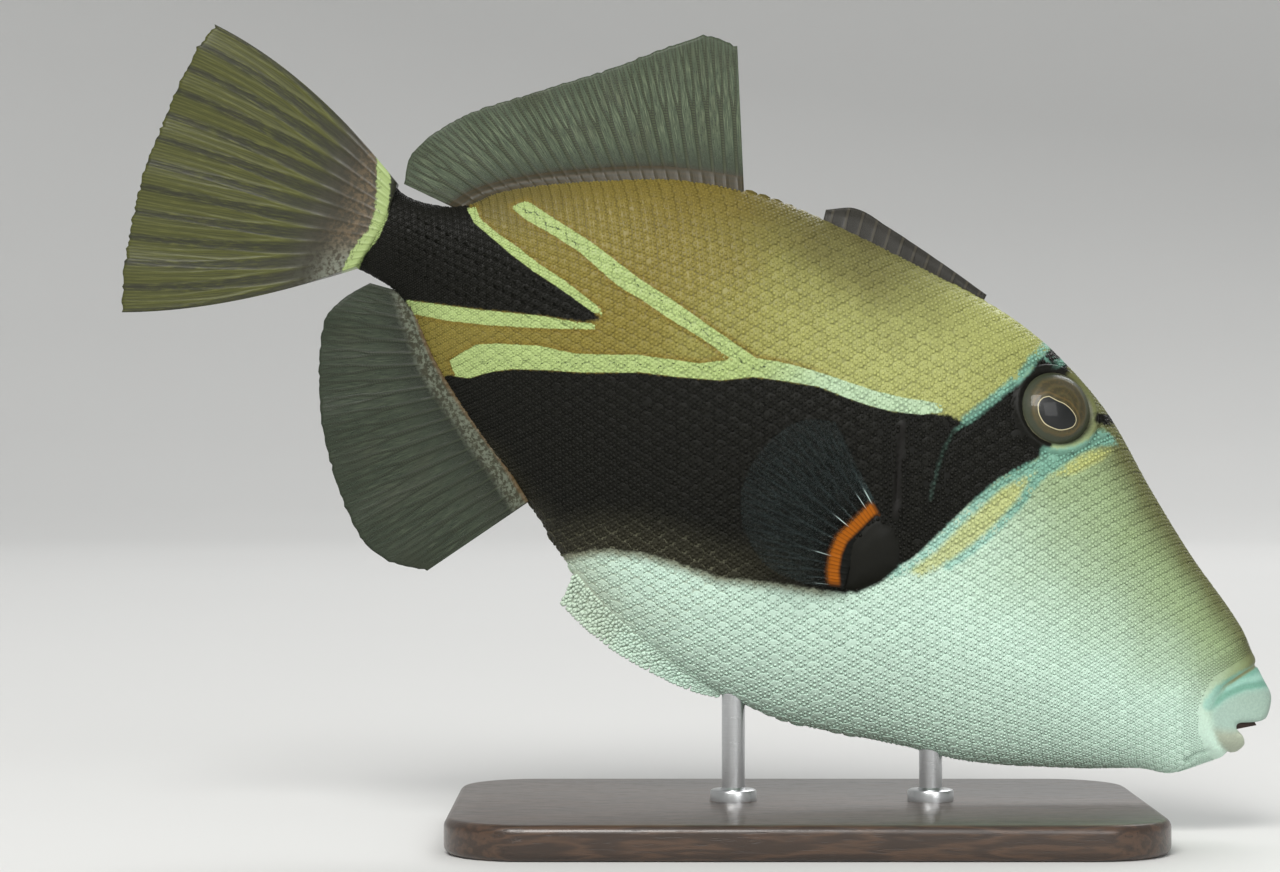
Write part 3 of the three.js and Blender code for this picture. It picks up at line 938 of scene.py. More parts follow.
class Signal:
    """A number on a shader's wires, on which Python's operators add Math nodes."""

    def __init__(self, graph: "Graph", socket: bpy.types.NodeSocket) -> None:
        """Wraps one output socket of a graph."""
        self.graph = graph
        self.socket = socket

    def math(self, operation: str, *others: Number) -> "Signal":
        """Adds one Math node to this signal and others."""
        inputs = dict(enumerate((self, *others)))
        return self.graph.node("ShaderNodeMath", {"operation": operation}, inputs)

    def __add__(self, other: Number) -> "Signal":
        """Adds."""
        return self.math("ADD", other)

    def __sub__(self, other: Number) -> "Signal":
        """Subtracts."""
        return self.math("SUBTRACT", other)

    def __rsub__(self, other: float) -> "Signal":
        """Subtracts from a number."""
        return self.graph.node("ShaderNodeMath", {"operation": "SUBTRACT"}, {0: other, 1: self})

    def __mul__(self, other: Number) -> "Signal":
        """Multiplies."""
        return self.math("MULTIPLY", other)

    def __truediv__(self, other: Number) -> "Signal":
        """Divides."""
        return self.math("DIVIDE", other)

    def __pow__(self, other: float) -> "Signal":
        """Raises to a power."""
        return self.math("POWER", other)

    __radd__ = __add__
    __rmul__ = __mul__

    def __abs__(self) -> "Signal":
        """Drops the sign."""
        return self.math("ABSOLUTE")

    def fraction(self) -> "Signal":
        """What is left past the whole number below."""
        return self.math("FRACT")

    def least(self, other: Number) -> "Signal":
        """The smaller of two."""
        return self.math("MINIMUM", other)

    def most(self, other: Number) -> "Signal":
        """The larger of two."""
        return self.math("MAXIMUM", other)

    def sine(self) -> "Signal":
        """The sine of this number."""
        return self.math("SINE")

    def step(self, low: float, high: float) -> "Signal":
        """Rises smoothly from 0 at low to 1 at high, or falls where low is above high.

        Args:
            low: Where the step starts.
            high: Where it ends.

        Returns:
            The step.
        """
        if low > high:
            return 1 - self.step(high, low)
        inputs = {"Value": self, "From Min": low, "From Max": high}
        return self.graph.node("ShaderNodeMapRange", {"interpolation_type": "SMOOTHSTEP"}, inputs)

    def parts(self) -> tuple["Signal", ...]:
        """The three numbers of a vector."""
        node = self.graph.node("ShaderNodeSeparateXYZ", {}, {0: self}).socket.node
        return tuple(Signal(self.graph, output) for output in node.outputs)


class Graph:
    """A material's node tree, built from expressions."""

    def __init__(self, name: str) -> None:
        """Starts an empty material with a Principled shader.

        Args:
            name: The material's name.
        """
        self.material = bpy.data.materials.new(name)
        self.material.use_nodes = True
        self.tree = self.material.node_tree
        self.shader = self.tree.nodes["Principled BSDF"]

    def node(self, kind: str, settings: dict, inputs: dict, output: int | str = 0) -> Signal:
        """Adds a node.

        Args:
            kind: The node's type.
            settings: Its properties, set first.
            inputs: Values or signals by socket name or number.
            output: The socket that the signal wraps.

        Returns:
            The signal of that output.
        """
        made = self.tree.nodes.new(kind)
        for key, value in settings.items():
            setattr(made, key, value)
        for key, value in inputs.items():
            self.feed(made.inputs[key], value)
        return Signal(self, made.outputs[output])

    def feed(self, socket: bpy.types.NodeSocket, value: Input) -> None:
        """Links or sets an input.

        Args:
            socket: The input.
            value: A signal to link, or a value to set.
        """
        if isinstance(value, Signal):
            self.tree.links.new(value.socket, socket)
        else:
            socket.default_value = value

    def vector(self, x: Number, y: Number, z: Number) -> Signal:
        """Joins three numbers into a vector or a colour."""
        return self.node("ShaderNodeCombineXYZ", {}, {0: x, 1: y, 2: z})

    def value(self, name: str) -> Signal:
        """A vector that the mesh stores under a name."""
        return self.node("ShaderNodeAttribute", {"attribute_name": name}, {}, "Vector")

    def place(self, scale: Sequence[float] = (1000, 1000, 1000)) -> Signal:
        """The object's own coordinates, scaled, which gives millimetres by default."""
        own = self.node("ShaderNodeTexCoord", {}, {}, "Object")
        return self.node("ShaderNodeMapping", {}, {"Vector": own, "Scale": tuple(scale)})

    def noise(self, at: Signal, scale: float, detail: float = 2.0, rough: float = 0.5) -> Signal:
        """Noise about 0.5, with its cells 1/scale across."""
        inputs = {"Vector": at, "Scale": scale, "Detail": detail, "Roughness": rough}
        return self.node("ShaderNodeTexNoise", {}, inputs)

    def mix(self, share: Number, first: Paint, second: Paint) -> Signal:
        """Blends two colours, with the second's share kept from 0 to 1."""
        first, second = (c if isinstance(c, Signal) else (*c, 1.0) for c in (first, second))
        return self.node("ShaderNodeMix", BLEND, {0: share, 6: first, 7: second}, 2)

    def layers(self, ground: Paint, *coats: tuple[Signal, Paint]) -> Signal:
        """Paints coats over a ground, in order.

        Args:
            ground: The first colour.
            coats: Each coat's share and its colour.

        Returns:
            The colour that shows.
        """
        for share, colour in coats:
            ground = self.mix(share, ground, colour)
        return ground

    def tinted(self, colour: Signal, tint: Signal) -> Signal:
        """Multiplies a colour by a grey or coloured signal."""
        return self.node("ShaderNodeMix", TINT, {0: 1.0, 6: colour, 7: tint}, 2)

    def bump(self, height: Signal, distance: float, strength: float = 1.0) -> Signal:
        """A normal from a height, with distance in metres."""
        inputs = {"Height": height, "Distance": distance, "Strength": strength}
        return self.node("ShaderNodeBump", {}, inputs, "Normal")

    def finish(self, **sockets: Input) -> Material:
        """Sets or links the shader's sockets, named with spaces as underscores.

        Args:
            sockets: A signal or a value for each.

        Returns:
            The material.
        """
        for name, value in sockets.items():
            self.feed(self.shader.inputs[name.replace("_", " ")], value)
        return self.material


@dataclass(frozen=True)
class FleshFinish:
    """The skin and its coat: olive gold above, black band, pale stripes and greenish white below."""

    name: str = "flesh"
    gold: Colour = (0.28, 0.27, 0.072)
    olive: Colour = (0.095, 0.082, 0.03)
    nape: Colour = (0.3, 0.32, 0.1)
    shoulder: Colour = (0.36, 0.38, 0.13)
    amber: Colour = (0.19, 0.14, 0.022)
    white: Colour = (0.58, 0.77, 0.65)
    snout: Colour = (0.12, 0.125, 0.045)
    cheek: Colour = (0.29, 0.38, 0.2)
    tan: Colour = (0.36, 0.36, 0.24)
    black: Colour = (0.0065, 0.0065, 0.0045)
    sooty: Colour = (0.032, 0.03, 0.018)
    rim: Colour = (0.12, 0.1, 0.05)
    stripe: Colour = (0.37, 0.47, 0.18)
    stripe_fore: Colour = (0.42, 0.56, 0.37)
    seam: Colour = (0.04, 0.06, 0.025)
    teal: Colour = (0.17, 0.36, 0.28)
    teal_pale: Colour = (0.32, 0.55, 0.46)
    yellow: Colour = (0.46, 0.48, 0.16)
    lip: Colour = (0.34, 0.47, 0.41)
    lip_low: Colour = (0.38, 0.40, 0.30)
    tail: Colour = (0.085, 0.075, 0.05)
    tail_band: Colour = (0.28, 0.36, 0.14)
    # Painted shade colour for the gap round the eye and the gill slit.
    slit: Colour = (0.008, 0.007, 0.006)

    def make(self, raised: bool) -> Material:
        """Builds the material.

        Args:
            raised: True for the coat's own solids; it only changes the material's name, as the painted
                highlights on their crests come from the stored crest values.

        Returns:
            The material.
        """
        graph = Graph(self.name + ("_coat" if raised else "_skin"))
        u, height, upper = graph.value("place").parts()
        dark, stripe, teal = graph.value("marks").parts()
        yellow, seam, tail = graph.value("lines").parts()
        tone, painted_hollow_shade, crest = graph.value("grain").parts()
        lips, lobe, _ = graph.value("lips").parts()
        place = graph.place()
        fray = (graph.noise(place, 1.1, 3, 0.6) - 0.5) * 0.9
        drift = graph.noise(place, 0.12, 2) - 0.5
        low = upper.step(0.5, 3)
        rear, banded = u.step(72, 80), (dark + fray * 1.2 + 0.1).step(0.5, -0.2)
        beside = (stripe + fray * 0.7).step(1.2, 0.1) * u.step(90, 104)
        sooty = (dark + fray * 3).step(-9, -1) * low * u.step(76, 96) * 0.8
        net = crest.step(0.4, 0.12) * (dark + fray * 3).step(-7.5, -1.0) * low * u.step(86, 98)
        lines = (teal + fray).step(0.5, -0.4) * (1 - dark.step(-1.2, -2.4) * 0.8)
        broken = graph.noise(place, 0.55, 1).step(0.36, 0.5)
        ground = graph.layers(
            self.ground(graph, u, height, upper, drift),
            ((dark + fray * 1.6).step(2.2, 0.1) * low * rear * 0.8, self.rim),
            (beside * 0.8, self.amber),
            (banded, graph.mix(sooty, self.black, self.sooty)),
            (net * 0.28, self.tan),
            (lines * 0.92, graph.mix(height.step(0.7, 0.5), self.teal, self.teal_pale)),
            ((yellow + fray).step(0.7, -0.6) * 0.75, self.yellow),
            ((stripe + fray * 0.45).step(0.12, -0.1),
             graph.mix(u.step(108, 92), self.stripe, self.stripe_fore)),
            (seam.step(0.17, 0.06) * broken * stripe.step(0, -0.3), self.seam),
        )
        ground = self.tail_root(graph, ground, tail + fray * 0.6)
        hem = lips.step(0.0, 0.3) * lips.step(1.0, 0.6) * height.step(0.55, 0.75)
        rimmed = (teal + fray * 0.4).step(0.3, -0.5) * (teal + 1.2).step(-0.6, 0.4) * lips
        ground = graph.layers(
            ground,
            (lips * 0.85, graph.mix(height.step(0.42, 0.3), self.lip, self.lip_low)),
            ((teal + fray * 0.5).step(1.2, -1.4) * lips, self.teal_pale),
            (rimmed, self.teal),
            (hem * 0.7, self.amber),
            (lobe.step(0.2, -0.6), self.black),
            # Painted shade in the gap round the eye and in the gill slit.
            (painted_hollow_shade.least(1), self.slit),
        )
        fine = graph.noise(place, 2.6, 3, 0.65)
        # Painted shade and highlight: crest darkens the gaps between scales and brightens their crests, less
        # on the pale belly; tone and fine add random tone.
        even = low * height.step(0.62, 0.35)
        shade = crest * (0.4 - even * 0.22) + tone * 0.12 + fine.step(0.25, 0.8) * 0.18 + even * 0.16 + 0.56
        grey = graph.vector(shade, shade, shade)
        normal = graph.bump(graph.noise(place, 3.2, 4, 0.6), 0.00005, 0.5)
        rough = 0.5 - crest * 0.16 + fine * 0.1
        return graph.finish(
            Base_Color=graph.tinted(ground, grey), Roughness=rough, Normal=normal,
            Coat_Weight=(1 - banded) * 0.15 + 0.01, Coat_Roughness=0.3, Specular_IOR_Level=0.15,
        )

    def tail_root(self, graph: Graph, ground: Signal, tail: Signal) -> Signal:
        """Adds the pale band across the tail's root and the brown scales behind it."""
        ground = graph.mix(tail.step(-0.2, 0.4), ground, self.tail)
        return graph.mix(tail.step(-1.3, -1.0) * tail.step(1.2, 0.9), ground, self.tail_band)

    def ground(self, graph: Graph, u: Signal, height: Signal, upper: Signal, drift: Signal) -> Signal:
        """The soft colours under the markings: gold back, amber rear, pale belly and olive snout.

        Args:
            graph: The material's graph.
            u: The distance from the snout.
            height: The share of the way from the belly to the back.
            upper: The distance to all that has the back's colours.
            drift: Soft noise about zero.

        Returns:
            The colour.
        """
        back = graph.layers(
            self.gold,
            ((u + drift * 12).step(118, 84), self.shoulder),
            (u.step(78, 62), self.nape),
            ((height + drift * 0.1).step(0.74, 1.0) * 0.85 * u.step(70, 100), self.olive),
            ((u + drift * 10).step(106, 130) * 0.75, self.amber),
            ((u + drift * 10).step(140, 162) * height.step(0.6, 0.9) * 0.6, self.olive),
        )
        belly = graph.layers(
            self.white,
            ((height + drift * 0.15).step(0.3, 0.86), self.cheek),
            ((height + drift * 0.1).step(0.8, 1.0), self.snout),
            (u.step(16, 4) * height.step(0.4, 0.8) * 0.6, self.snout),
            ((u + drift * 30).step(88, 116) * height.step(0.16, 0.02) * 0.4, self.tan),
        )
        return graph.mix(upper.step(0.6, -0.6), belly, back)


# The fish

@dataclass
class Skin:
    """The one closed skin of the head, body, tail stalk, lips and pelvic flap."""

    rings: int = 300
    around: int = 150
    voxel: float = 0.57
    smoothings: int = 4
    mouth_half: float = 20.0
    lining_half: float = 3.2
    flap_foot_half: float = 2.2
    flap_edge_half: float = 0.35
    lining_rim: Points = (
        (11.5, -5.2), (5.4, -5.2), (2.3, -3.6), (1.5, -4.1), (4.4, -6.5), (4.3, -7.4), (3.2, -8.1), (4, -8.8),
        (11.5, -8),
    )
    flap_foot: Points = ((84, -40), (94, -40.2), (104, -38.6), (112, -36.4), (117, -34.4))
    flap_edge: Points = ((84.4, -43.6), (90.9, -45), (102.8, -45.2), (110.1, -44.1), (116.6, -42.2))
    mouth: Points = (
        (-4, -0.8), (-0.2, -2.1), (2.4, -4), (5.4, -5.6), (10.2, -6.1), (10.2, -6.6), (5.4, -6.1),
        (2.9, -6.7), (2, -7.2), (1.5, -8.2), (1.8, -9.2), (-4, -12),
    )

    def build(self) -> Piece:
        """Builds the skin: a formed ball, its flap joined and its mouth cut, made even and folded.

        Returns:
            The skin, in the part's frame.
        """
        skin = self.formed_ball()
        self.combine(skin, self.flap(), "UNION")
        self.combine(skin, prism("mouth_wedge", self.mouth, self.mouth_half), "DIFFERENCE")
        remesh = skin.modifiers.new("even", "REMESH")
        remesh.mode = "VOXEL"
        remesh.voxel_size = self.voxel
        self.settle(skin)
        self.relax(skin)
        at = coordinates(skin.data)
        folded = at + rows_of(skin.data.vertex_normals, "vector") * RELIEF.height(at)[:, None]
        move_vertices(skin.data, POSE.to_part(folded))
        face_out(skin)
        bare = RELIEF.bare(at)
        # Skin between the scales keeps the painted shade of the gaps; bare skin is painted lighter, out of
        # it.
        dress_flank(skin.data, at, bare * 0.5, bare * 0.62)
        skin.data.shade_smooth()
        return skin

    def formed_ball(self) -> Piece:
        """A ball whose rings are spread along the fish, in the fish's frame.

        Returns:
            The ball.
        """
        bm = bmesh.new()
        bmesh.ops.create_uvsphere(bm, u_segments=self.around, v_segments=self.rings, radius=1)
        ball = mesh_object("skin", bm)
        at = coordinates(ball.data)
        turn = np.clip(at[:, 2], -1, 1)
        spread = 0.8
        share = np.arccos(turn) / math.pi * (1 - spread) + (1 - turn) / 2 * spread
        u = np.clip(share * BODY.length, 0.01, BODY.length - 0.01)
        move_vertices(ball.data, BODY.surface(u, np.arctan2(at[:, 1], at[:, 0])))
        face_out(ball)
        return ball

    def flap(self) -> Piece:
        """The thin keel of skin below the rear of the belly.

        Returns:
            The flap, in the fish's frame.
        """
        made, share, along, face = blade("flap", 40, 10)
        foot, edge = path_through(self.flap_foot, share), path_through(self.flap_edge, share)
        flat = foot + (edge - foot) * along[:, None]
        move_vertices(made.data, np.column_stack([flat, face * self.flap_half(along)]))
        face_out(made)
        return made

    def flap_half(self, along: Array) -> Array:
        """Half the flap's thickness at a share of the way out to its edge."""
        return self.flap_foot_half * (1 - along) ** 1.2 + self.flap_edge_half

    def lining(self) -> Piece:
        """The inside of the mouth, seen in the gap between the lips, painted nearly black as the shade inside
        it.

        Returns:
            The lining, in the part's frame.
        """
        made = prism("mouth_lining", self.lining_rim, self.lining_half)
        move_vertices(made.data, POSE.to_part(coordinates(made.data)))
        graph = Graph("mouth_lining")
        spots = graph.noise(graph.place(), 0.8, 2)
        # Nearly black brown with spots: painted shade inside the mouth.
        colour = graph.mix(spots, (0.02, 0.01, 0.008), (0.07, 0.035, 0.025))
        made.data.materials.append(graph.finish(Base_Color=colour, Roughness=0.45))
        return made

    def combine(self, skin: Piece, other: Piece, operation: str) -> None:
        """Joins another solid to the skin, or cuts it away, and removes it.

        Args:
            skin: The skin.
            other: The other solid.
            operation: The modifier's word for what is done.
        """
        cut = skin.modifiers.new("cut", "BOOLEAN")
        cut.operation = operation
        cut.object = other
        cut.solver = "MANIFOLD"
        self.settle(skin)
        bpy.data.objects.remove(other)

    def settle(self, skin: Piece) -> None:
        """Applies the modifiers to the mesh.

        Args:
            skin: The object whose modifiers are applied.
        """
        graph = bpy.context.evaluated_depsgraph_get()
        graph.update()
        done = bpy.data.meshes.new_from_object(skin.evaluated_get(graph), depsgraph=graph)
        skin.modifiers.clear()
        skin.data = done

    def relax(self, skin: Piece) -> None:
        """Smooths the steps that the even mesh leaves.

        Args:
            skin: The skin.
        """
        bm = bmesh.new()
        bm.from_mesh(skin.data)
        for _ in range(self.smoothings):
            bmesh.ops.smooth_vert(
                bm, verts=bm.verts, factor=0.5, use_axis_x=True, use_axis_y=True, use_axis_z=True,
            )
        bm.to_mesh(skin.data)
        bm.free()


class Girths:
    """Lengths round the body, measured up and down from its middle line at many stations."""

    top = 0.985

    def __init__(self) -> None:
        """Measures the body."""
        self.stations = np.linspace(0.3, BODY.length - 0.3, 240)
        self.angles = np.linspace(0, math.pi / 2, 90)
        self.above, self.below = (self.half(way) for way in (1, -1))
        self.full = np.minimum(self.above[:, -1], self.below[:, -1])

    def half(self, way: int) -> Array:
        """Measures the back's or the belly's half.

        Args:
            way: 1 for the back and -1 for the belly.

        Returns:
            The length at each station and angle.
        """
        u, angle = np.meshgrid(self.stations, self.angles * way, indexing="ij")
        at = BODY.surface(u.ravel(), angle.ravel()).reshape(*u.shape, 3)
        steps = np.linalg.norm(np.diff(at[:, :, 1:], axis=1), axis=2)
        return np.pad(np.cumsum(steps, axis=1), ((0, 0), (1, 0)))

    def angle_at(self, u: Array, girth: Array) -> Array:
        """Turns lengths round the body into angles.

        Args:
            u: The distances from the snout.
            girth: The lengths up from the middle line, below zero downwards.

        Returns:
            The angles, with nan where a length runs past the middle plane.
        """
        stations, shares = self.stations, np.linspace(0, 1, 60)
        found = np.full(len(u), np.nan)
        row = np.clip(np.searchsorted(stations, u), 1, len(stations) - 1)
        part = (u - stations[row - 1]) / (stations[row] - stations[row - 1])
        for half, way in ((self.above, 1), (self.below, -1)):
            inverse = np.stack([np.interp(shares * line[-1], line, self.angles) for line in half])
            full = half[row - 1, -1] * (1 - part) + half[row, -1] * part
            share = girth * way / full
            spot = np.clip(share, 0, 1) * (len(shares) - 1)
            low = np.clip(spot.astype(int), 0, len(shares) - 2)
            between = spot - low
            near = inverse[row - 1, low] * (1 - between) + inverse[row - 1, low + 1] * between
            far = inverse[row, low] * (1 - between) + inverse[row, low + 1] * between
            mine = ((share >= 0) if way > 0 else (share > 0)) & (share < self.top)
            found = np.where(mine, (near * (1 - part) + far * part) * way, found)
        return found


@dataclass
class Coat:
    """The scales: thin plates in rows along the body, with granules standing on them."""

    plate_length: float = 2.65
    row_height: float = 2.35
    plate_height: float = 0.09
    overlap: tuple[float, float] = (1.16, 1.26)
    grain_length: float = 0.68
    grain_width: float = 0.76
    grain_height: float = 0.24
    grains_per_plate: int = 3
    girths: Girths = Girths()
    shrink: float = 0.6
    full_girth: float = 46.0
    smallest: float = 0.5
    largest: float = 1.1
    pieces: int = 6
    seed: int = 7
    spine_rows: Points = (
        (143, 170, 4.2, 4.4), (138, 170.5, 2.4, 2.2), (139, 171, 0.4, 0), (145, 171, -1.5, -2.2),
        (152, 170.5, -3.6, -4.4),
    )
    spine_step: float = 1.9

    def lattice(self, divide: int) -> Roots:
        """Lays the roots of a skewed lattice over both flanks.

        Args:
            divide: How many roots stand along each edge of a plate.

        Returns:
            The roots, on the skin's surface.
        """
        stations, scale = self.girths.stations, self.scales()
        scale = np.convolve(np.pad(scale, 12, mode="edge"), np.ones(25) / 25, mode="valid")
        stretched = np.concatenate([[0], np.cumsum(np.diff(stations) / ((scale[1:] + scale[:-1]) / 2))])
        step_u, step_v = self.plate_length / divide, self.row_height / divide
        rows = np.arange(-int(60 / step_v), int(60 / step_v) + 1)
        columns = np.arange(0, int(stretched[-1] / step_u) + 1)
        row, column = (grid.ravel() for grid in np.meshgrid(rows, columns, indexing="ij"))
        shift = np.mod(row * 0.5, 1.0)
        rng = np.random.default_rng(self.seed + divide)
        drift = rng.normal(0, 0.07 if divide > 1 else 0.02, (2, len(row)))
        u = np.interp((column + shift + drift[0]) * step_u, stretched, stations)
        girth = (row + drift[1]) * step_v * np.interp(u, stations, scale)
        angle = self.girths.angle_at(u, girth)
        keep = ~np.isnan(angle) & (u > 1) & (u < BODY.length - 1.5)
        u, girth, angle = u[keep], girth[keep], angle[keep]
        return Roots.joined([self.on_side(u, girth, angle, side) for side in Side])

    def on_side(self, u: Array, girth: Array, angle: Array,
                side: Side) -> tuple[Array, ...]:
        """Places the lattice on one flank.

        Args:
            u: The roots' distances from the snout.
            girth: Their lengths up from the middle line.
            angle: Their angles round the body.
            side: The flank.

        Returns:
            The points, their outward and rearward directions and their unwrapped places.
        """
        turned = angle if side is Side.LEFT else math.pi - angle
        base, out = BODY.surface(u, turned), BODY.normal(u, turned)
        at = base + out * RELIEF.height(base)[:, None]
        ahead = BODY.surface(np.minimum(u + 0.5, BODY.length - 0.4), turned) - base
        ahead -= np.sum(ahead * out, axis=1, keepdims=True) * out
        return at, out, unit(ahead), self.unwrapped(u, girth, side)

    def unwrapped(self, u: Array, girth: Array, side: Side) -> Array:
        """Unwraps places of one flank.

        Args:
            u: Their distances from the snout.
            girth: Their lengths up from the middle line.
            side: The flank.

        Returns:
            Their places in the unwrapped square.
        """
        middle = 0.25 if side is Side.LEFT else 0.75
        return np.stack([0.02 + u / 186, middle + girth / 210], axis=1)

    def plates(self) -> list[Piece]:
        """The plates of the body, in two pieces.

        Returns:
            The pieces.
        """
        roots = self.lattice(1)
        bare, lifted = RELIEF.bare(roots.at), RELIEF.height(roots.at)
        level = np.abs(lifted + RELIEF.coat_depth * (1 - bare)) < 0.06
        for line, room in ((GILL_SLIT, 2.8), (GILL_CREASE, 2.0)):
            level &= line_distance(roots.at[:, :2], line)[0] > room
        roots = roots.picked((bare < 0.35) & level)
        scale = self.scale_at(roots.at[:, 0]) * (1 - 0.4 * RELIEF.bare(roots.at))
        length, width = self.plate_length * self.overlap[0], self.row_height * self.overlap[1]
        sizes = np.stack([scale * length, scale * width, scale * 0 + self.plate_height], axis=1)
        return self.pieces_of("scale_plates", Pattern.PLATE, roots, sizes, 2)

    def pieces_of(self, name: str, kind: Pattern, roots: Roots, sizes: Array,
                  count: int) -> list[Piece]:
        """Builds one pattern's copies as several pieces of about the same size.

        Args:
            name: The pieces' name, to which a number is added.
            kind: The pattern.
            roots: Where the copies stand.
            sizes: Their sizes.
            count: How many pieces.

        Returns:
            The pieces.
        """
        made = []
        for number, part in enumerate(np.array_split(np.arange(len(roots.at)), count)):
            made.append(repeat(f"{name}_{number + 1}", kind, roots.picked(part), sizes[part]))
        return made

    def scales(self) -> Array:
        """How large the scales are at each station, as a share of the largest."""
        return np.clip((self.girths.full / self.full_girth) ** self.shrink, self.smallest, self.largest)

    def scale_at(self, u: Array) -> Array:
        """How large the scales are along the body, as a share of the largest."""
        return np.interp(u, self.girths.stations, self.scales())

    def granules(self) -> list[Piece]:
        """The granules that stand on the plates, strongest on the back, flank and cheek.

        Returns:
            The pieces.
        """
        roots = self.lattice(self.grains_per_plate)
        flat = roots.at[:, :2]
        rng = np.random.default_rng(self.seed)
        scale = self.scale_at(flat[:, 0])
        belly = (1 - smooth_step(BODY.height(flat), 0.25, 0.6)) * (CHART.read("dark", flat) > 0)
        strength = (1 - 0.68 * belly) * (0.55 + 0.45 * smooth_step(flat[:, 0], 8, 40))
        bare = RELIEF.bare(roots.at)
        strength *= 1 - bare
        keep = (bare < 0.8) & (rng.random(len(flat)) < 0.985)
        along = (self.grain_length + 0.12 * rng.random(len(flat))) * (1 - 0.18 * belly)
        across = (self.grain_width + 0.14 * rng.random(len(flat))) * (1 - 0.1 * belly)
        tall = self.grain_height * (0.75 + 0.5 * rng.random(len(flat))) * strength
        sizes = np.stack([scale * along, scale * across, tall], axis=1)
        roots, sizes = roots.picked(keep), sizes[keep]
        roots = Roots(roots.at + roots.out * 0.06, roots.out, roots.along, roots.unwrapped)
        return self.pieces_of("scale_granules", Pattern.GRANULE, roots, sizes, self.pieces)

    def flap_scales(self) -> Piece:
        """Small pointed scales over the pelvic flap, with a frayed row past its edge.

        Returns:
            The piece.
        """
        rng = np.random.default_rng(self.seed + 40)
        grids = np.meshgrid(np.linspace(0.03, 0.99, 52), np.linspace(0.3, 0.97, 9))
        share, along = (grid.ravel() for grid in grids)
        share = np.clip(share + rng.normal(0, 0.006, len(share)), 0, 1)
        foot, edge = path_through(SKIN.flap_foot, share), path_through(SKIN.flap_edge, share)
        flat = foot + (edge - foot) * along[:, None]
        swept = np.column_stack([edge - foot, np.zeros(len(share))]) * 0.5
        rear = unit(swept + np.array([2.2, -0.4, 0]))
        sunk = 0.2
        flanks = []
        for side, edge_at in zip(Side, (0.02, 0.93)):
            at = np.column_stack([flat, side.value * (SKIN.flap_half(along) - sunk)])
            out = np.tile([0.0, 0.0, float(side.value)], (len(at), 1))
            flanks.append((at, out, rear, np.stack([0.3 + share * 0.2, edge_at + along * 0.05], axis=1)))
        roots = Roots.joined(flanks)
        longer = np.tile(0.9 + 0.3 * along**2 + 0.3 * rng.random(len(along)), 2)
        sizes = np.stack([longer, longer * 0.62, longer * 0.3], axis=1)
        return repeat("flap_scales", Pattern.GRANULE, roots, sizes)

    def stalk_spines(self) -> Piece:
        """The rows of small hooked spines on both sides of the tail stalk.

        Returns:
            The piece.
        """
        rng = np.random.default_rng(self.seed + 80)
        spots = []
        for start, end, first, last in self.spine_rows:
            for u in np.arange(start, end, self.spine_step):
                spots.append((u, first + (last - first) * (u - start) / (end - start)))
        flat = np.array(spots) + rng.normal(0, 0.12, (len(spots), 2))
        u, v = flat.T
        w = BODY.flank(u, v)
        flanks = []
        for side in Side:
            out = np.array([BODY.flank_out(*spot) for spot in flat]) * [1, 1, side.value]
            at = np.column_stack([flat, side.value * w]) - out * (RELIEF.coat_depth + 0.05)
            ahead = unit(np.array([-1.0, 0, 0]) + out[:, :1] * out)
            flanks.append((at, out, ahead, self.unwrapped(u, v, side)))
        roots = Roots.joined(flanks)
        size = 0.75 + 0.2 * rng.random(len(roots.at))
        return repeat("stalk_spines", Pattern.SPINE, roots, np.stack([size, size * 0.8, size * 0.7], axis=1))


@dataclass(frozen=True)
class Reading:
    """What a fin's material reads at each place, as signals."""

    graph: Graph
    across: Signal
    share: Signal
    reach: Signal
    tail: Signal
    local: Signal
    streak: Signal
    wobble: Signal


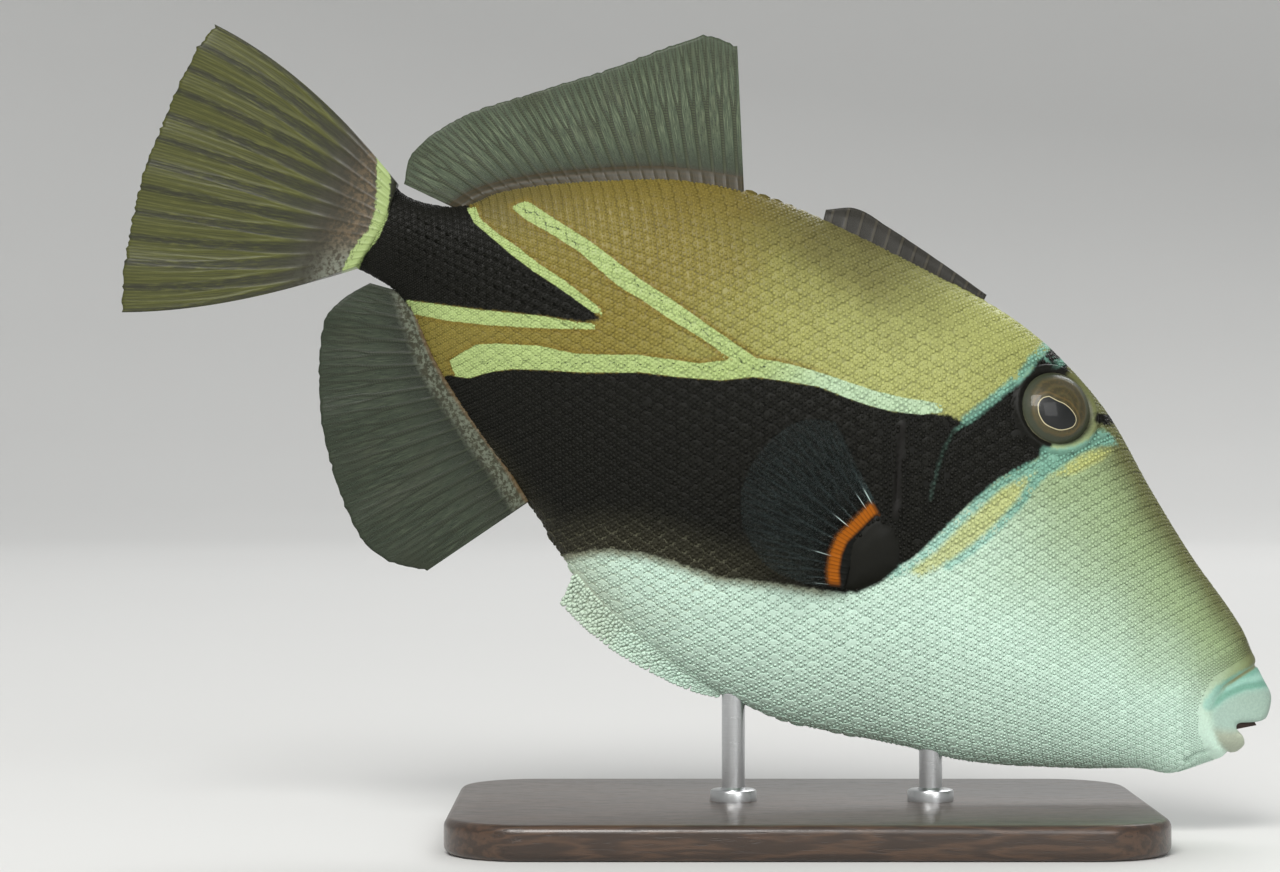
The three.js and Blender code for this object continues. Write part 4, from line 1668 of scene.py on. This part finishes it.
@dataclass(frozen=True)
class FinFinish:
    """A fin's thin membrane, its jointed rays and its scaled foot."""

    name: str
    membrane: Colour = (0.055, 0.075, 0.045)
    hem: Colour = (0.14, 0.175, 0.105)
    ray: Colour = (0.055, 0.065, 0.038)
    edge: Colour = (0.02, 0.024, 0.015)
    foot: Colour = (0.075, 0.055, 0.025)
    foot_reach: float = 1.9
    clear: float = 0.84
    solid: float = 0.97
    gloss: float = 0.2
    forks: tuple[float, ...] = (0.45, 0.75)
    half_ray: float = 0.11
    joint: float = 0.46
    jointed: float = 0.75

    def make(self) -> Material:
        """Builds the material, which reads places along and across the rays from the fin's mesh.

        Returns:
            The material.
        """
        graph = Graph(self.name)
        across, share, tail = graph.value("fan").parts()
        reach, ridge, _ = graph.value("fin").parts()
        place = graph.place()
        streak = graph.noise(graph.vector(across * 11, reach * 0.35, 0.0), 1.0, 3, 0.6)
        cloud = graph.noise(place, 0.16, 3)
        pale = streak.step(0.4, 0.72) * share.step(0.1, 0.5) * (1 - share.step(0.7, 1.0) * 0.6)
        grit = graph.noise(place, 4.5, 2, 0.7)
        body = graph.layers(
            self.membrane, (pale, self.hem), (cloud.step(0.45, 0.75) * 0.3, self.foot),
            (grit.step(0.45, 0.7) * 0.25, self.edge), (reach.step(9, 3) * 0.55, self.edge),
        )
        local, wobble = self.forked(across, share), (cloud - 0.5) * 1.4
        at = Reading(graph, across, share, reach, tail, local, streak, wobble)
        body, cover = self.rays(at, body)
        body, rooted = self.root(at, body)
        cover = cover.most(rooted).least(1)
        normal = graph.bump(streak + graph.noise(place, 3.0, 2) * 0.5, 0.00005)
        return graph.finish(
            Base_Color=body, Roughness=0.44 - ridge * 0.12, Alpha=cover, Normal=normal,
            Specular_IOR_Level=self.gloss, Coat_Weight=0.05, Coat_Roughness=0.2,
        )

    def forked(self, across: Signal, share: Signal) -> Signal:
        """Measures how far each place lies from the middle of its ray's branch.

        Args:
            across: The place across the rays, which stand one apart.
            share: The share of the way out.

        Returns:
            The distance, in the rays' spacing.
        """
        local = across.fraction() - 0.5
        for fork in self.forks:
            opened = share.step(fork, fork + FORK_LENGTH)
            local = (abs(local) - opened * 0.25) * (opened + 1)
        return abs(local)

    def rays(self, at: Reading, body: Signal) -> tuple[Signal, Signal]:
        """Draws the jointed rays: a pale core between two dark lines, with dark joints across it.

        Args:
            at: What the material reads.
            body: The colour so far.

        Returns:
            The colour, and how solid the fin is.
        """
        inside = at.local.step(self.half_ray * 1.15, self.half_ray * 0.85)
        sides = abs(at.local - self.half_ray).step(self.half_ray * 0.42, self.half_ray * 0.12)
        joints = (at.reach / self.joint).fraction().step(0.42, 0.3) * inside * at.share.step(0.12, 0.3)
        dark = (sides * 0.7).most(joints * self.jointed)
        body = at.graph.layers(body, (inside, self.ray), (dark, self.edge))
        drawn = inside.most(sides) * (self.solid - self.clear)
        return body, drawn + at.streak * 0.06 + (self.clear - 0.03)

    def root(self, at: Reading, body: Signal) -> tuple[Signal, Signal]:
        """Draws the sheath along the fin's foot, with its folds painted as bands of shade.

        Args:
            at: What the material reads.
            body: The colour so far.

        Returns:
            The colour, and how solid the fin is.
        """
        rooted = (at.reach + at.wobble * 0.4).step(self.foot_reach, self.foot_reach * 0.7)
        # No relief for the folds: darker bands paint the shade in their creases.
        folds = ((at.reach * 7).sine() * 0.5 + 0.5) * 0.5
        sheath = at.graph.mix(folds, self.foot, self.edge)
        return at.graph.mix(rooted, body, sheath), rooted


@dataclass(frozen=True)
class SpeckledFoot(FinFinish):
    """A fin whose foot is a pale sheath sprinkled with granules, with a brown hem along the body."""

    speck: Colour = (0.12, 0.135, 0.1)
    brown: Colour = (0.09, 0.055, 0.02)

    def root(self, at: Reading, body: Signal) -> tuple[Signal, Signal]:
        """Draws the speckled sheath.

        Args:
            at: What the material reads.
            body: The colour so far.

        Returns:
            The colour, and how solid the fin is.
        """
        rooted = (at.reach + at.wobble).step(self.foot_reach, self.foot_reach * 0.55)
        specks = at.graph.noise(at.graph.place(), 1.5, 2, 0.7).step(0.42, 0.62)
        hem = at.reach.step(1.0, 0.3) * 0.8
        sheath = at.graph.layers(self.foot, (specks, self.speck), (hem, self.brown))
        return at.graph.mix(rooted, body, sheath), rooted


@dataclass(frozen=True)
class TailFinish(FinFinish):
    """The tail fin: yellow rays that spread over a dusky web, behind brown scales and a pale band."""

    band: Colour = (0.28, 0.36, 0.14)
    rose: Colour = (0.135, 0.1, 0.06)
    frost: Colour = (0.17, 0.19, 0.155)
    dusk: Colour = (0.036, 0.034, 0.024)

    def rays(self, at: Reading, body: Signal) -> tuple[Signal, Signal]:
        """Draws yellow branches that widen outwards, split by dark lines.

        Args:
            at: What the material reads.
            body: The colour so far.

        Returns:
            The colour, and how solid the fin is.
        """
        central = abs(at.across.fraction() - 0.5)
        wedge = (central - at.share * 0.36).step(0.1, -0.04) * at.share.step(0.15, 0.4)
        core = at.local.step(self.half_ray, self.half_ray * 0.2)
        core = core * (at.streak.step(0.4, 0.75) * 0.5 + 0.1)
        gaps = abs(at.local - 0.4).step(0.12, 0.02) * 0.45
        body = at.graph.layers(body, (wedge * 0.8, self.hem), (core, self.ray), (gaps, self.edge))
        return body, wedge * 0.04 + self.clear

    def root(self, at: Reading, body: Signal) -> tuple[Signal, Signal]:
        """Draws the pale band and the scaled root.

        Args:
            at: What the material reads.
            body: The colour so far.

        Returns:
            The colour, and how solid the fin is.
        """
        graph, place = at.graph, at.graph.place()
        rooted = (at.reach + at.wobble * 3).step(self.foot_reach, self.foot_reach * 0.45)
        grains = graph.noise(place, 1.3, 2, 0.6)
        scaled = graph.layers(
            self.foot,
            (grains.step(0.4, 0.65) * 0.8, self.rose),
            (at.across.step(7.5, 11) * grains.step(0.35, 0.6) * 0.8, self.frost),
            ((at.reach + at.wobble * 2).step(3.5, 10) * 0.85, self.dusk),
        )
        near = at.tail + (graph.noise(place, 1.1, 3, 0.6) - 0.5) * 1.2
        cracks = graph.noise(place, 1.5, 2).step(0.55, 0.62) * near.step(0.0, 0.9) * 0.6
        band = graph.mix(cracks, self.band, self.edge)
        body = graph.layers(
            body, (rooted, scaled), (near.step(1.35, 1.0), band), (near.step(-1.0, -1.3), self.edge),
        )
        return body, rooted.most(near.step(1.8, 1.2))


@dataclass(frozen=True)
class PectoralFinish(FinFinish):
    """A nearly clear fan with blue-grey rays, whose foot carries an orange band."""

    orange: Colour = (0.32, 0.09, 0.005)
    rust: Colour = (0.1, 0.03, 0.004)
    start: float = 0.1
    end: float = 2.5
    glint: Colour = (0.4, 0.5, 0.48)

    def root(self, at: Reading, body: Signal) -> tuple[Signal, Signal]:
        """Draws the black root, the orange band and the glints on the rays.

        Args:
            at: What the material reads.
            body: The colour so far.

        Returns:
            The colour, and how solid the fin is.
        """
        graph, across = at.graph, at.across
        lead = across.step(1.5, 0.2) * at.reach.step(12, 4)
        odd = graph.noise(graph.vector(across * 1.3, 0.0, 0.0), 2.0, 0)
        near = at.tail + at.wobble * 0.2
        lit = abs(across.fraction() - 0.5).step(0.1, 0.04)
        glint = lit * near.step(self.end + 3.2, self.end + 1.2) * odd.step(0.5, 0.56)
        ribs = (across * 2).fraction().step(0.2, 0.34) * 0.45 + 0.55
        striped = graph.mix(ribs, self.rust, self.orange)
        ends = across.step(0.0, 0.9) * across.step(13.0, 11.6)
        inside = near.step(self.end + 0.5, self.end - 0.9)
        root = near.step(self.start + 0.5, self.start - 0.3)
        body = graph.layers(
            body, (lead * 0.8, self.hem), (glint, self.glint),
            (inside, graph.mix(ends, self.edge, striped)), (root, self.edge),
        )
        return body, inside.most(glint).most(lead * 0.35)


@dataclass(frozen=True)
class Fin:
    """A fan of forked rays joined by a thin membrane."""

    name: str
    node: str
    base: Points
    tip: Points
    rays: int
    finish: FinFinish
    slot: str = "fin"
    border: str = "tail"
    rows: int = 44
    columns_per_ray: int = 16
    ridge: float = 0.1
    membrane: float = 0.09
    flesh: float = 1.3
    flesh_share: float = 0.16
    ragged: float = 0.003
    ripple: float = 0.25
    bow: Points = ((0, 0), (0, 0))
    seed: int = 3

    def ridges(self, across: Array, reach: Array) -> Array:
        """How strongly a ray stands at each point, from 0 between rays to 1 on a crest.

        Args:
            across: The share of the way from the first ray to the last.
            reach: The share of the way out along the rays.

        Returns:
            The strengths.
        """
        local = np.mod(across * self.rays, 1.0) - 0.5
        forked = np.zeros_like(local)
        width, worn = 0.15, 0.25
        for fork in self.finish.forks:
            opened = smooth_step(reach, fork, fork + FORK_LENGTH)
            local = (np.abs(local) - 0.25 * opened) * (1 + opened)
            forked = forked + opened
        return bump(local, width) * (1 - worn * np.clip(forked / max(len(self.finish.forks), 1), 0, 1))

    def build(self) -> Piece:
        """Builds the fin as one closed blade and sets its finish.

        Returns:
            The fin, in the part's frame.
        """
        made, across, reach, face = blade(self.name, self.rays * self.columns_per_ray, self.rows)
        ridge = self.ridges(across, reach)
        placed = self.shaped(across, reach, face, ridge)
        move_vertices(made.data, POSE.to_part(placed))
        face_out(made)
        length = np.linalg.norm(path_through(self.tip, across) - path_through(self.base, across), axis=1)
        set_values(made.data, "fan", across * self.rays, reach, CHART.read(self.border, placed[:, :2]))
        set_values(made.data, "fin", reach * length, ridge)
        made.data.materials.append(self.finish.make())
        return made

    def shaped(self, across: Array, reach: Array, face: Array,
               ridge: Array) -> Array:
        """Places the blade's points.

        Args:
            across: The share of the way from the first ray to the last.
            reach: The share of the way out along the rays.
            face: 1 on one face and -1 on the other.
            ridge: How strongly a ray stands there.

        Returns:
            Rows of (u, v, w).
        """
        rng = np.random.default_rng(self.seed)
        notches = self.rays * 2 ** len(self.finish.forks)
        ends = 1 + self.ragged * rng.normal(0, 1, notches + 1)
        edge = np.interp(across * notches, np.arange(notches + 1), ends)
        edge = edge - self.ragged * 1.2 * np.abs(np.cos(across * self.rays * math.pi))
        out = reach * (1 + (edge - 1) * smooth_step(reach, 0.5, 1))
        root, end = path_through(self.base, across), path_through(self.tip, across)
        if root.shape[1] == 2:
            root, end = (np.column_stack([line, np.zeros(len(line))]) for line in (root, end))
        at = root + (end - root) * out[:, None]
        first, last = np.array(self.bow, float)
        at[:, :2] += (4 * out * (1 - out))[:, None] * (first + (last - first) * across[:, None])
        wave = np.sin(across * 17 + reach * 2.1) + 0.6 * np.sin(across * 41 + 1)
        at[:, 2] += self.ripple * wave * reach**1.5
        fleshy = self.flesh * (1 - smooth_step(reach, 0, self.flesh_share))
        rim = 1 - 0.75 * smooth_step(reach, 0.96, 1)
        edges = smooth_step(np.minimum(across, 1 - across), 0, 0.004) * 0.6 + 0.4
        half = (self.membrane + ridge * self.ridge * (1 - 0.72 * reach)) * rim * edges + fleshy * edges
        at[:, 2] += face * half
        return at


SKIN = Skin()


@dataclass(frozen=True)
class EyeFinish:
    """The wet eye: black pear pupil, gold rim, brown iris in folds and a thin pale edge."""

    name: str = "wet_eye"
    pupil: Colour = (0.004, 0.005, 0.005)
    gold: Colour = (0.5, 0.45, 0.28)
    iris: Colour = (0.036, 0.03, 0.01)
    fold: Colour = (0.08, 0.065, 0.022)
    amber: Colour = (0.15, 0.09, 0.022)
    outer: Colour = (0.034, 0.044, 0.027)

    def make(self) -> Material:
        """Builds the material, which reads the pupil's distance and the radius from the eye's mesh.

        Returns:
            The material.
        """
        graph = Graph(self.name)
        pupil, radius, _ = graph.value("eye").parts()
        place = graph.place()
        grain = graph.noise(place, 2.2, 3)
        wobble = (graph.noise(place, 0.5, 2) - 0.5) * 0.9
        folds = ((radius * 4.2 + wobble * 3).sine() * 0.5 + 0.5) ** 2.0
        ring = abs(pupil - 0.9 + wobble * 0.5).step(0.3, 0.05)
        iris = graph.layers(
            self.iris,
            (folds * 0.5, self.fold),
            (grain.step(0.45, 0.8) * 0.3, self.amber),
            (ring * 0.35, self.amber),
            ((radius + wobble).step(4.6, 5.8) * 0.8, self.outer),
            (radius.step(6.25, 6.4) * radius.step(6.65, 6.5) * 0.3, self.gold),
            (pupil.step(0.2, 0.12), self.gold),
            (pupil.step(0.06, 0.0), self.pupil),
        )
        normal = graph.bump(folds * pupil.step(0.2, 1.0), 0.0001, 0.5)
        return graph.finish(
            Base_Color=iris, Roughness=0.4 + grain * 0.1, Normal=normal,
            Coat_Weight=0.25, Coat_Roughness=0.05, Specular_IOR_Level=0.3,
        )


@dataclass
class Eyeball:
    """One eye as a flattened dome in its socket."""

    side: Side
    rings: int = 120
    around: int = 200
    pupil: Points = (
        (2.6, -0.1), (1.1, -0.1), (-0.4, 0.1), (-2, -0.1), (-3.2, -0.6), (-3.6, -1.3), (-3.4, -2.3),
        (-1.9, -3.8), (-0.3, -4.3), (1.1, -4.3), (2.4, -3.6), (3.1, -2.8), (3.5, -1.9), (3.3, -0.8),
    )

    def build(self, finish: Material) -> Piece:
        """Builds the eye and stores what its finish reads.

        Args:
            finish: The eye's material.

        Returns:
            The eye.
        """
        name = f"eyeball_{self.side.name.lower()}"
        bm = bmesh.new()
        bmesh.ops.create_uvsphere(bm, u_segments=self.around, v_segments=self.rings, radius=1)
        made = mesh_object(name, bm)
        ball = coordinates(made.data)
        seat, out = EYE.seat(self.side)
        rear = np.array([1.0, 0, 0]) - out[0] * out
        rear /= np.linalg.norm(rear)
        up = np.cross(rear, out) if self.side is Side.RIGHT else np.cross(out, rear)
        if up[1] < 0:
            up = -up
        flat = ball[:, :2] * EYE.radius
        at = seat + flat[:, :1] * rear + flat[:, 1:] * up + (ball[:, 2:] * EYE.bulge - EYE.sunk) * out
        move_vertices(made.data, POSE.to_part(at))
        face_out(made)
        outline = path_through(self.pupil + self.pupil[:1], np.linspace(0, 1, 90)[:-1])
        pupil = area_distance(flat, tuple(map(tuple, outline)))
        set_values(made.data, "eye", np.where(ball[:, 2] > 0, pupil, FAR), np.hypot(*flat.T))
        made.data.materials.append(finish)
        return made


@dataclass(frozen=True)
class WoodFinish:
    """Dark stained wood with a satin lacquer, its grain along X."""

    name: str = "stained_wood"
    dark: Colour = (0.02, 0.012, 0.008)
    light: Colour = (0.085, 0.046, 0.026)

    def make(self) -> Material:
        """Builds the material.

        Returns:
            The material.
        """
        graph = Graph(self.name)
        long = graph.place((60, 520, 520))
        rings = graph.noise(long, 0.35, 4, 0.6)
        grain = ((rings * 46).sine() * 0.5 + 0.5) ** 1.5
        pores = graph.noise(graph.place((240, 5200, 2600)), 1.0, 2, 0.7).step(0.56, 0.72)
        wood = graph.layers(self.dark, (grain * 0.55 + rings * 0.4, self.light), (pores * 0.7, self.dark))
        normal = graph.bump(grain * 0.3 - pores, 0.00005, 0.5)
        return graph.finish(
            Base_Color=wood, Roughness=0.34 + pores * 0.25, Normal=normal,
            Coat_Weight=0.35, Coat_Roughness=0.18,
        )


@dataclass(frozen=True)
class SteelFinish:
    """Satin steel, brushed round its axis."""

    name: str = "satin_steel"
    tint: Colour = (0.56, 0.57, 0.58)
    brushed: Colour = (0.38, 0.39, 0.4)

    def make(self) -> Material:
        """Builds the material.

        Returns:
            The material.
        """
        graph = Graph(self.name)
        brushed = graph.noise(graph.place((300, 300, 9000)), 1.0, 3, 0.7)
        tint = graph.mix(brushed.step(0.3, 0.8) * 0.25, self.tint, self.brushed)
        normal = graph.bump(brushed, 0.00002, 0.5)
        return graph.finish(Base_Color=tint, Roughness=0.22 + brushed * 0.16, Metallic=1.0, Normal=normal)


# The stand and the studio

@dataclass
class Stand:
    """The flat base and the two rods that carry the fish."""

    length: float = 120.0
    depth: float = 80.0
    height: float = 6.0
    corner: float = 14.0
    bevel: float = 1.5
    rod_radius: float = 2.0
    collar_radius: float = 4.0
    collar_height: float = 2.0
    ease: float = 0.5
    fillet: float = 0.3
    foot_sunk: float = 0.02
    top_sunk: float = 0.9
    rods: tuple[tuple[str, float], ...] = (("stand_rod_front", 22.5), ("stand_rod_rear", -11.5))

    def base(self) -> Piece:
        """The base: a block with round corners and softened edges.

        Returns:
            The base.
        """
        bm = bmesh.new()
        size = Matrix.Diagonal((self.length, self.depth, self.height, 1))
        bmesh.ops.create_cube(bm, size=1, matrix=Matrix.Translation((0, 0, self.height / 2)) @ size)
        upright = [e for e in bm.edges if abs(e.verts[0].co.z - e.verts[1].co.z) > 1]
        bmesh.ops.bevel(
            bm, geom=upright, affect="EDGES", offset=self.corner, segments=14, profile=0.5, material=-1,
        )
        level = [e for e in bm.edges if abs(e.verts[0].co.z - e.verts[1].co.z) < MERGE]
        rims = [e for e in level if len(e.link_faces) == 2]
        rims = [e for e in rims if any(abs(face.normal.z) > 0.9 for face in e.link_faces)]
        bmesh.ops.bevel(
            bm, geom=rims, affect="EDGES", offset=self.bevel, segments=5, profile=0.5, material=-1,
        )
        bmesh.ops.scale(bm, verts=bm.verts, vec=(MM, MM, MM))
        return mesh_object("display_base", bm)

    def rod(self, node: str, x: float) -> Piece:
        """One rod with its collar, turned about its axis and sunk into the belly.

        Args:
            node: The solid's node that the rod stands for.
            x: The rod's place along the base.

        Returns:
            The rod.
        """
        foot, top = self.height - self.foot_sunk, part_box(node)[1].z / MM + self.top_sunk
        shoulder = foot + self.collar_height
        profile = (
            (0, foot), (self.collar_radius, foot), (self.collar_radius, shoulder - self.ease),
            (self.collar_radius - 0.3 * self.ease, shoulder - 0.3 * self.ease),
            (self.collar_radius - self.ease, shoulder), (self.rod_radius + self.fillet, shoulder),
            (self.rod_radius, shoulder + self.fillet), (self.rod_radius, top), (0, top),
        )
        bm = lathe(profile, 56)
        bmesh.ops.translate(bm, verts=bm.verts, vec=(x, 0, 0))
        bmesh.ops.scale(bm, verts=bm.verts, vec=(MM, MM, MM))
        made = mesh_object(node.replace("stand_", "display_"), bm)
        made.data.set_sharp_from_angle(angle=math.radians(40))
        return made

    def build(self) -> list[Piece]:
        """Builds the stand's pieces and hides the solids that they stand for.

        Returns:
            The pieces.
        """
        wood, steel = WoodFinish().make(), SteelFinish().make()
        base = self.base()
        base.data.set_sharp_from_angle(angle=math.radians(50))
        base.data.materials.append(wood)
        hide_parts("stand_base")
        made = [base]
        for node, x in self.rods:
            rod = self.rod(node, x)
            rod.data.materials.append(steel)
            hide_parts(node)
            made.append(rod)
        return made


@dataclass
class FinSet:
    """All the fins of the fish."""

    dorsal: Fin = Fin(
        "dorsal_fan", "second_dorsal_fin",
        ((121.8, 34.2), (133.4, 30), (142.8, 25), (153.4, 18.3), (159.9, 13), (162.6, 9)),
        ((135.2, 56.6), (140.3, 55.9), (144.3, 52.3), (151.7, 43.9), (160.8, 34.4), (171.1, 23.6),
         (175.8, 13.8), (174.6, 8.4)),
        24, FinFinish("dorsal_membrane", foot=(0.04, 0.03, 0.013), foot_reach=4.6, half_ray=0.13), flesh=0.9,
    )
    anal: Fin = Fin(
        "anal_fan", "anal_fin",
        ((129.6, -29.6), (137, -25.4), (149, -19.6), (157, -14.6), (164.6, -7.8)),
        ((139.4, -48.4), (145.3, -50), (151.5, -49.2), (162.1, -40.9), (170.1, -30.7), (175.4, -19.2),
         (174.4, -14), (171.6, -9.4)),
        21, SpeckledFoot(
            "anal_membrane", membrane=(0.024, 0.034, 0.02), hem=(0.055, 0.07, 0.042),
            ray=(0.032, 0.04, 0.024), edge=(0.012, 0.014, 0.009), foot=(0.04, 0.04, 0.024),
            foot_reach=4.2, clear=0.9,
        ), flesh=1.0, flesh_share=0.2,
    )
    tail: Fin = Fin(
        "tail_fan", "caudal_fin",
        ((175.6, 8), (174.6, 4), (174.2, 0), (174.4, -4), (174.8, -8.1)),
        ((216.3, 17.2), (217, 12), (216.4, -0.6), (214.4, -14.2), (210.4, -26.7), (207, -34.2)),
        12, TailFinish(
            "tail_membrane", membrane=(0.032, 0.034, 0.02), hem=(0.074, 0.078, 0.02),
            ray=(0.13, 0.135, 0.045), edge=(0.02, 0.021, 0.012), foot=(0.055, 0.048, 0.034),
            foot_reach=15.5, forks=(0.3, 0.5, 0.72), half_ray=0.14, clear=0.93,
        ), rows=64, columns_per_ray=32, ridge=0.12, flesh=3.3, flesh_share=0.3, bow=((1, 2.6), (0, -2.2)),
    )
    folded: Fin = Fin(
        "folded_dorsal", "first_dorsal_fin",
        ((77, 36.6), (86, 36.8), (98, 36.6), (107.6, 36)),
        ((77, 39.2), (86.4, 40.4), (98, 41.5), (104, 41.6), (108.4, 39)),
        12, FinFinish(
            "dark_membrane", membrane=(0.026, 0.024, 0.016), ray=(0.045, 0.04, 0.028),
            foot=(0.04, 0.035, 0.02), edge=(0.01, 0.009, 0.007), hem=(0.05, 0.045, 0.032),
            foot_reach=1.2, clear=0.85, forks=(), jointed=0.0,
        ), slot="dark_fin", rows=14, columns_per_ray=10, flesh=0.8, flesh_share=0.8, ripple=0.1,
    )
    fan: FinFinish = PectoralFinish(
        "pectoral_membrane", membrane=(0.014, 0.019, 0.019), ray=(0.03, 0.042, 0.042),
        foot=(0.02, 0.02, 0.017), edge=(0.006, 0.0065, 0.0055), hem=(0.06, 0.09, 0.09), clear=0.14,
        solid=0.42, forks=(0.4, 0.7), jointed=0.3, gloss=0.06,
    )

    def pectoral(self, side: Side) -> Fin:
        """The pectoral fin of one flank, fanned out behind the gill slit.

        Args:
            side: The flank.

        Returns:
            The fin, not yet built.
        """
        hinge, sunk, spread = (76, -10), 0.9, 0.4
        base = ((75.4, -3.4), (76.6, -7), (76.8, -11), (75.8, -17))
        tip = (
            (90.6, 7), (95.4, 4.8), (98.8, -0.9), (99.4, -9), (96.3, -15.3), (89.7, -19.5), (82.2, -19.4),
        )
        foot = BODY.flank(*hinge)[0]
        name = side.name.lower()
        return Fin(
            f"pectoral_fan_{name}", f"pectoral_fin_{name}",
            tuple((u, v, side.value * (foot - sunk)) for u, v in base),
            tuple((u, v, side.value * (foot + spread * (u - hinge[0]))) for u, v in tip),
            13, self.fan, border="lobes", rows=40, ridge=0.07, flesh=0.9, flesh_share=0.24, ripple=0.15,
        )

    def build(self) -> list[Piece]:
        """Builds every fin and hides the solid that it stands for.

        Returns:
            The pieces.
        """
        made = []
        pectorals = [self.pectoral(side) for side in Side]
        for fin in (self.dorsal, self.anal, self.tail, self.folded, *pectorals):
            piece = fin.build()
            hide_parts(fin.node)
            made.append(piece)
        return made


@dataclass(frozen=True)
class Lamp:
    """A square soft light: its name, place and side in metres, power in watts and tint."""

    name: str
    at: tuple[float, float, float]
    side: float
    power: float
    tint: Colour = (1.0, 1.0, 1.0)

    def build(self) -> None:
        """Hangs the light, facing the fish and hidden from the camera."""
        data = bpy.data.lights.new(self.name, "AREA")
        data.size, data.energy, data.color = self.side, self.power, self.tint
        lamp = added(self.name, data)
        lamp.location = self.at
        lamp.visible_camera = False
        towards = Vector(FISH_MIDDLE) - Vector(self.at)
        lamp.rotation_euler = towards.to_track_quat("-Z", "Y").to_euler()


@dataclass
class Studio:
    """A pale floor, soft lights and the camera at the photo's angle."""

    camera_height: float = 68.8
    camera_x: float = -27.6
    distance: float = 613.0
    lens: float = 100.0
    floor: Colour = (0.68, 0.68, 0.67)
    room: float = 3.2
    sweep: float = 1.4
    wall: float = 2.2
    sky: Colour = (0.72, 0.73, 0.74)
    sky_strength: float = 0.6
    lamps: tuple[Lamp, ...] = (
        Lamp("key", (-0.4, -1.5, 1.4), 0.9, 36.0, (1.0, 0.99, 0.96)),
        Lamp("front", (0.8, -1.9, 0.9), 1.0, 11.0),
        Lamp("rear", (0.6, 1.6, 1.5), 1.1, 18.0),
    )

    def build(self) -> None:
        """Sets the stage."""
        self.floor_piece()
        for lamp in self.lamps:
            lamp.build()
        world = bpy.data.worlds.new("studio")
        bpy.context.scene.world = world
        world.use_nodes = True
        background = world.node_tree.nodes["Background"]
        background.inputs["Color"].default_value = (*self.sky, 1)
        background.inputs["Strength"].default_value = self.sky_strength
        bpy.context.scene.view_settings.view_transform = "Standard"
        self.camera()

    def floor_piece(self) -> None:
        """A wide flat floor that curves up into a wall all round, far behind the camera's every place."""
        bend = [math.radians(angle) for angle in range(0, 91, 9)]
        profile = [(0.0, 0.0), (0.6, 0.0), (1.2, 0.0)]
        corner = self.room - self.sweep
        profile += [(corner + self.sweep * math.sin(t), self.sweep * (1 - math.cos(t))) for t in bend]
        profile.append((self.room, self.wall))
        bm = lathe(profile, 96)
        bmesh.ops.reverse_faces(bm, faces=bm.faces)
        floor = mesh_object("floor", bm)
        graph = Graph("floor")
        tone = graph.noise(graph.place((1, 1, 1)), 3.0, 3)
        colour = graph.mix(tone, self.floor, tuple(c * 0.97 for c in self.floor))
        paint = graph.finish(Base_Color=colour, Roughness=0.75, Specular_IOR_Level=0.2)
        floor.data.materials.append(paint)

    def camera(self) -> None:
        """The camera, level and square to the fish's right flank."""
        data = bpy.data.cameras.new("camera")
        data.lens = self.lens
        data.sensor_width = 36
        camera = added("camera", data)
        camera.location = Vector((self.camera_x, -self.distance, self.camera_height)) * MM
        camera.rotation_euler = (math.pi / 2, 0, 0)
        bpy.context.scene.camera = camera


def keep(pieces: list[Piece]) -> None:
    """Lets pieces ride on the fish's one body and reports them.

    Args:
        pieces: The pieces.
    """
    for piece in pieces:
        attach(piece, ROOT_BODY)
        piece.data.calc_loop_triangles()
        log.info("%s: %d triangles", piece.name, len(piece.data.loop_triangles))


def main() -> None:
    """Builds the fish, its stand and the studio, in order."""
    logging.basicConfig(level=logging.INFO, format="%(asctime)s %(message)s")
    finish = FleshFinish()
    skin = SKIN.build()
    skin.data.materials.clear()
    skin.data.materials.append(finish.make(raised=False))
    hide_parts("head", "trunk", "tail_stalk", "upper_lip", "lower_lip", "pelvic_flap")
    lining = SKIN.lining()
    keep([skin, lining])
    coat_finish = finish.make(raised=True)
    coat = Coat()
    for piece in coat.plates() + coat.granules() + [coat.flap_scales(), coat.stalk_spines()]:
        piece.data.materials.append(coat_finish)
        keep([piece])
    keep(FinSet().build())
    wet = EyeFinish().make()
    for side in Side:
        eye = Eyeball(side).build(wet)
        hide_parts(f"eye_{side.name.lower()}")
        keep([eye])
    keep(Stand().build())
    Studio().build()


if __name__ == "__main__":
    main()
